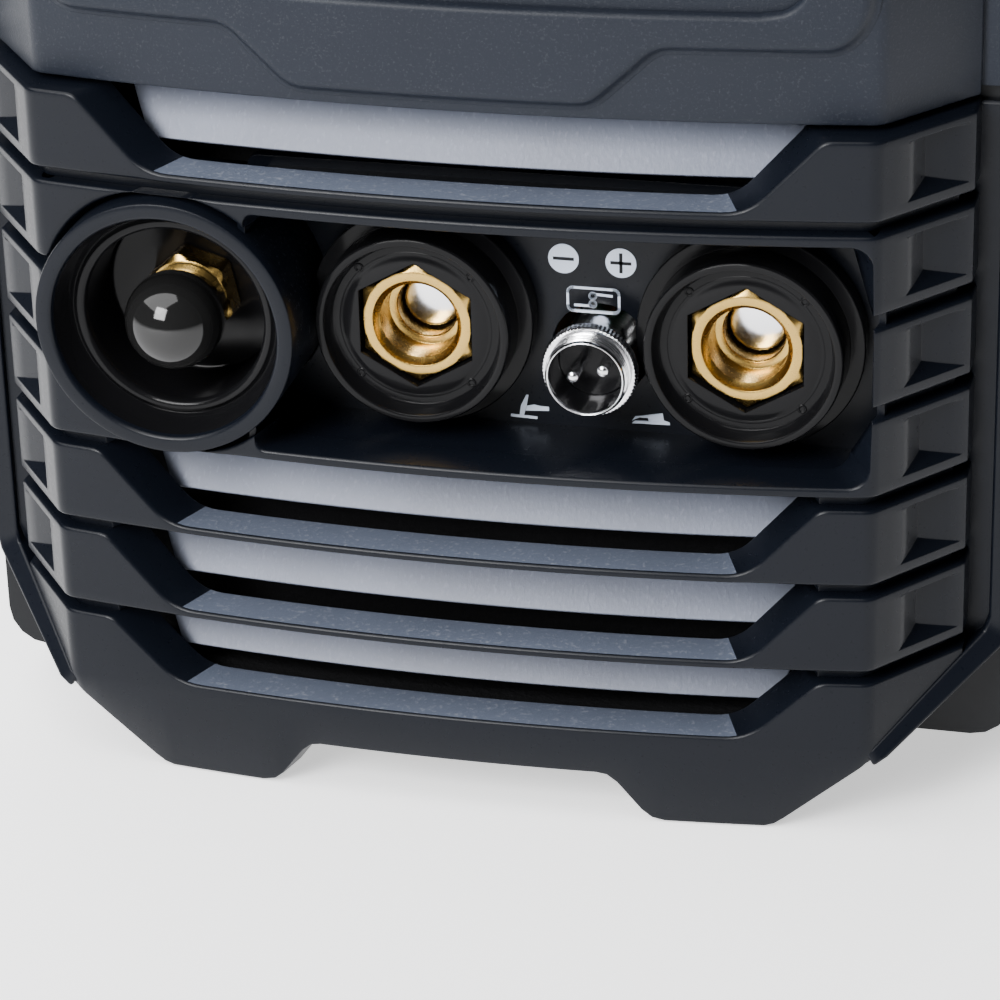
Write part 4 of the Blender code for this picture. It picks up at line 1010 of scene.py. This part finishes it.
def screw_head(bm, place, axis, radius=3.6, height=1.7):
    """A button-head screw with a hexagon socket, standing on a face. place is in metres and axis points out."""
    out = Vector(axis)
    across = Vector((0, 0, 1)) if abs(out.z) < 0.5 else Vector((1, 0, 0))
    up = out.cross(across)
    socket = hexagonal(radius * 0.9)
    profile = [(0.0, radius, None), (0.35, radius, None), (0.7, radius * 0.95, None), (0.8, radius * 0.8, None),
               (1.0, radius * 0.55, None), (1.0, 0, socket), (0.35, 0, socket)]
    rings = []
    for rise, reach, shape in profile:
        ring = []
        for i in range(36):
            a = 2 * math.pi * i / 36
            r = shape(a) if shape else reach
            ring.append(bm.verts.new(place + (across * math.cos(a) * r + up * math.sin(a) * r
                                              + out * rise * height) * MM))
        rings.append(ring)
    for lower, upper in zip(rings, rings[1:]):
        for i in range(36):
            j = (i + 1) % 36
            bm.faces.new((lower[i], lower[j], upper[j], upper[i]))
    bm.faces.new(rings[0][::-1])
    bm.faces.new(rings[-1])


def make_fasteners():
    """Screws along the foot of the case's sides and at the corners of the fan."""
    inset, rise, fan_reach = 0.03, 0.010, 0.0412
    low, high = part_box("top_cover")
    bm = bmesh.new()
    for side in (-1, 1):
        for y in (low.y + inset, (low.y + high.y) / 2, high.y - inset):
            screw_head(bm, Vector((high.x if side > 0 else low.x, y, low.z + rise)), (side, 0, 0))
    fan_low, fan_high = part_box("fan_grille")
    fan = (fan_low + fan_high) / 2
    for x in (-1, 1):
        for z in (-1, 1):
            place = Vector((fan.x + x * fan_reach, REAR_FACE * MM, fan.z + z * fan_reach))
            screw_head(bm, place, (0, 1, 0), 3.0, 1.5)
    piece("case_screws", bm, "machine", [STEEL], sharp=40)


# ---------------------------------------------------------------- camera and light

def soft_light(name, place, aim, size, power):
    """A soft box at a place, turned towards aim. Both are in metres."""
    lamp = bpy.data.lights.new(name, "AREA")
    lamp.shape = "RECTANGLE"
    lamp.size, lamp.size_y = size
    lamp.energy = power
    made = bpy.data.objects.new(name, lamp)
    made.location = place
    made.rotation_euler = (Vector(aim) - Vector(place)).to_track_quat("-Z", "Y").to_euler()
    bpy.context.scene.collection.objects.link(made)


def make_floor():
    """A pale floor that glows a little, just under the feet."""
    half, gap = 6.0, 0.0002
    mesh = bpy.data.meshes.new("floor")
    corners = [(-half, -half, 0), (half, -half, 0), (half, half, 0), (-half, half, 0)]
    mesh.from_pydata(corners, [], [(0, 1, 2, 3)])
    floor = bpy.data.objects.new("floor", mesh)
    floor.location.z = CAD_BOX[0].z - gap
    bpy.context.scene.collection.objects.link(floor)
    paper = finish("pale_paper", (0.86, 0.86, 0.87), 0.8, grain=200, grain_depth=0.0, mottle=0.01, edge=0)
    glow = paper.node_tree.nodes["Principled BSDF"]
    glow.inputs["Emission Color"].default_value = (1, 1, 1, 1)
    glow.inputs["Emission Strength"].default_value = 0.9
    mesh.materials.append(paper)


def make_lights():
    world = bpy.data.worlds.new("studio")
    world.use_nodes = True
    sky = world.node_tree.nodes["Background"]
    sky.inputs["Color"].default_value = (0.93, 0.95, 1.0, 1)
    sky.inputs["Strength"].default_value = 0.08
    bpy.context.scene.world = world
    soft_light("above", (-0.42, -0.5, 1.05), (0, -0.2, 0.08), (1.2, 1.2), 26)
    soft_light("key", (-0.42, -1.25, 0.8), (-0.04, -0.2, 0.1), (0.6, 0.6), 36)
    soft_light("back", (-0.35, 1.4, 0.85), (0, 0.1, 0.1), (1.6, 0.9), 42)


def make_camera():
    """A long lens that looks down at the connectors from the right of the middle."""
    lens = bpy.data.cameras.new("camera")
    lens.lens = 146.7
    lens.sensor_width = 36.0
    lens.clip_start, lens.clip_end = 0.05, 50
    eye = at(162.9, -588.8, 353.7)
    right = Vector((0.9698, 0.2426, -0.0255))
    up = Vector((-0.0839, 0.4302, 0.8988))
    forward = Vector((-0.229, 0.8695, -0.4376))
    camera = bpy.data.objects.new("camera", lens)
    camera.matrix_world = Matrix((right, up, -forward)).transposed().to_4x4()
    camera.location = eye
    bpy.context.scene.collection.objects.link(camera)
    bpy.context.scene.camera = camera


dress_cad()
for number in (0, 4, 5):
    make_vent_bar(number)
make_lowest_bar()
make_middle_bars()
make_recess_walls()
make_rim()
make_cup()
make_vents()
make_head_ground()
make_head_panel()
make_prints()
for socket in ("negative", "positive"):
    make_power_socket(socket)
make_control_socket()
make_gas_cap()
make_knob()
make_panel_marks()
make_fasteners()
make_floor()
make_lights()
make_camera()
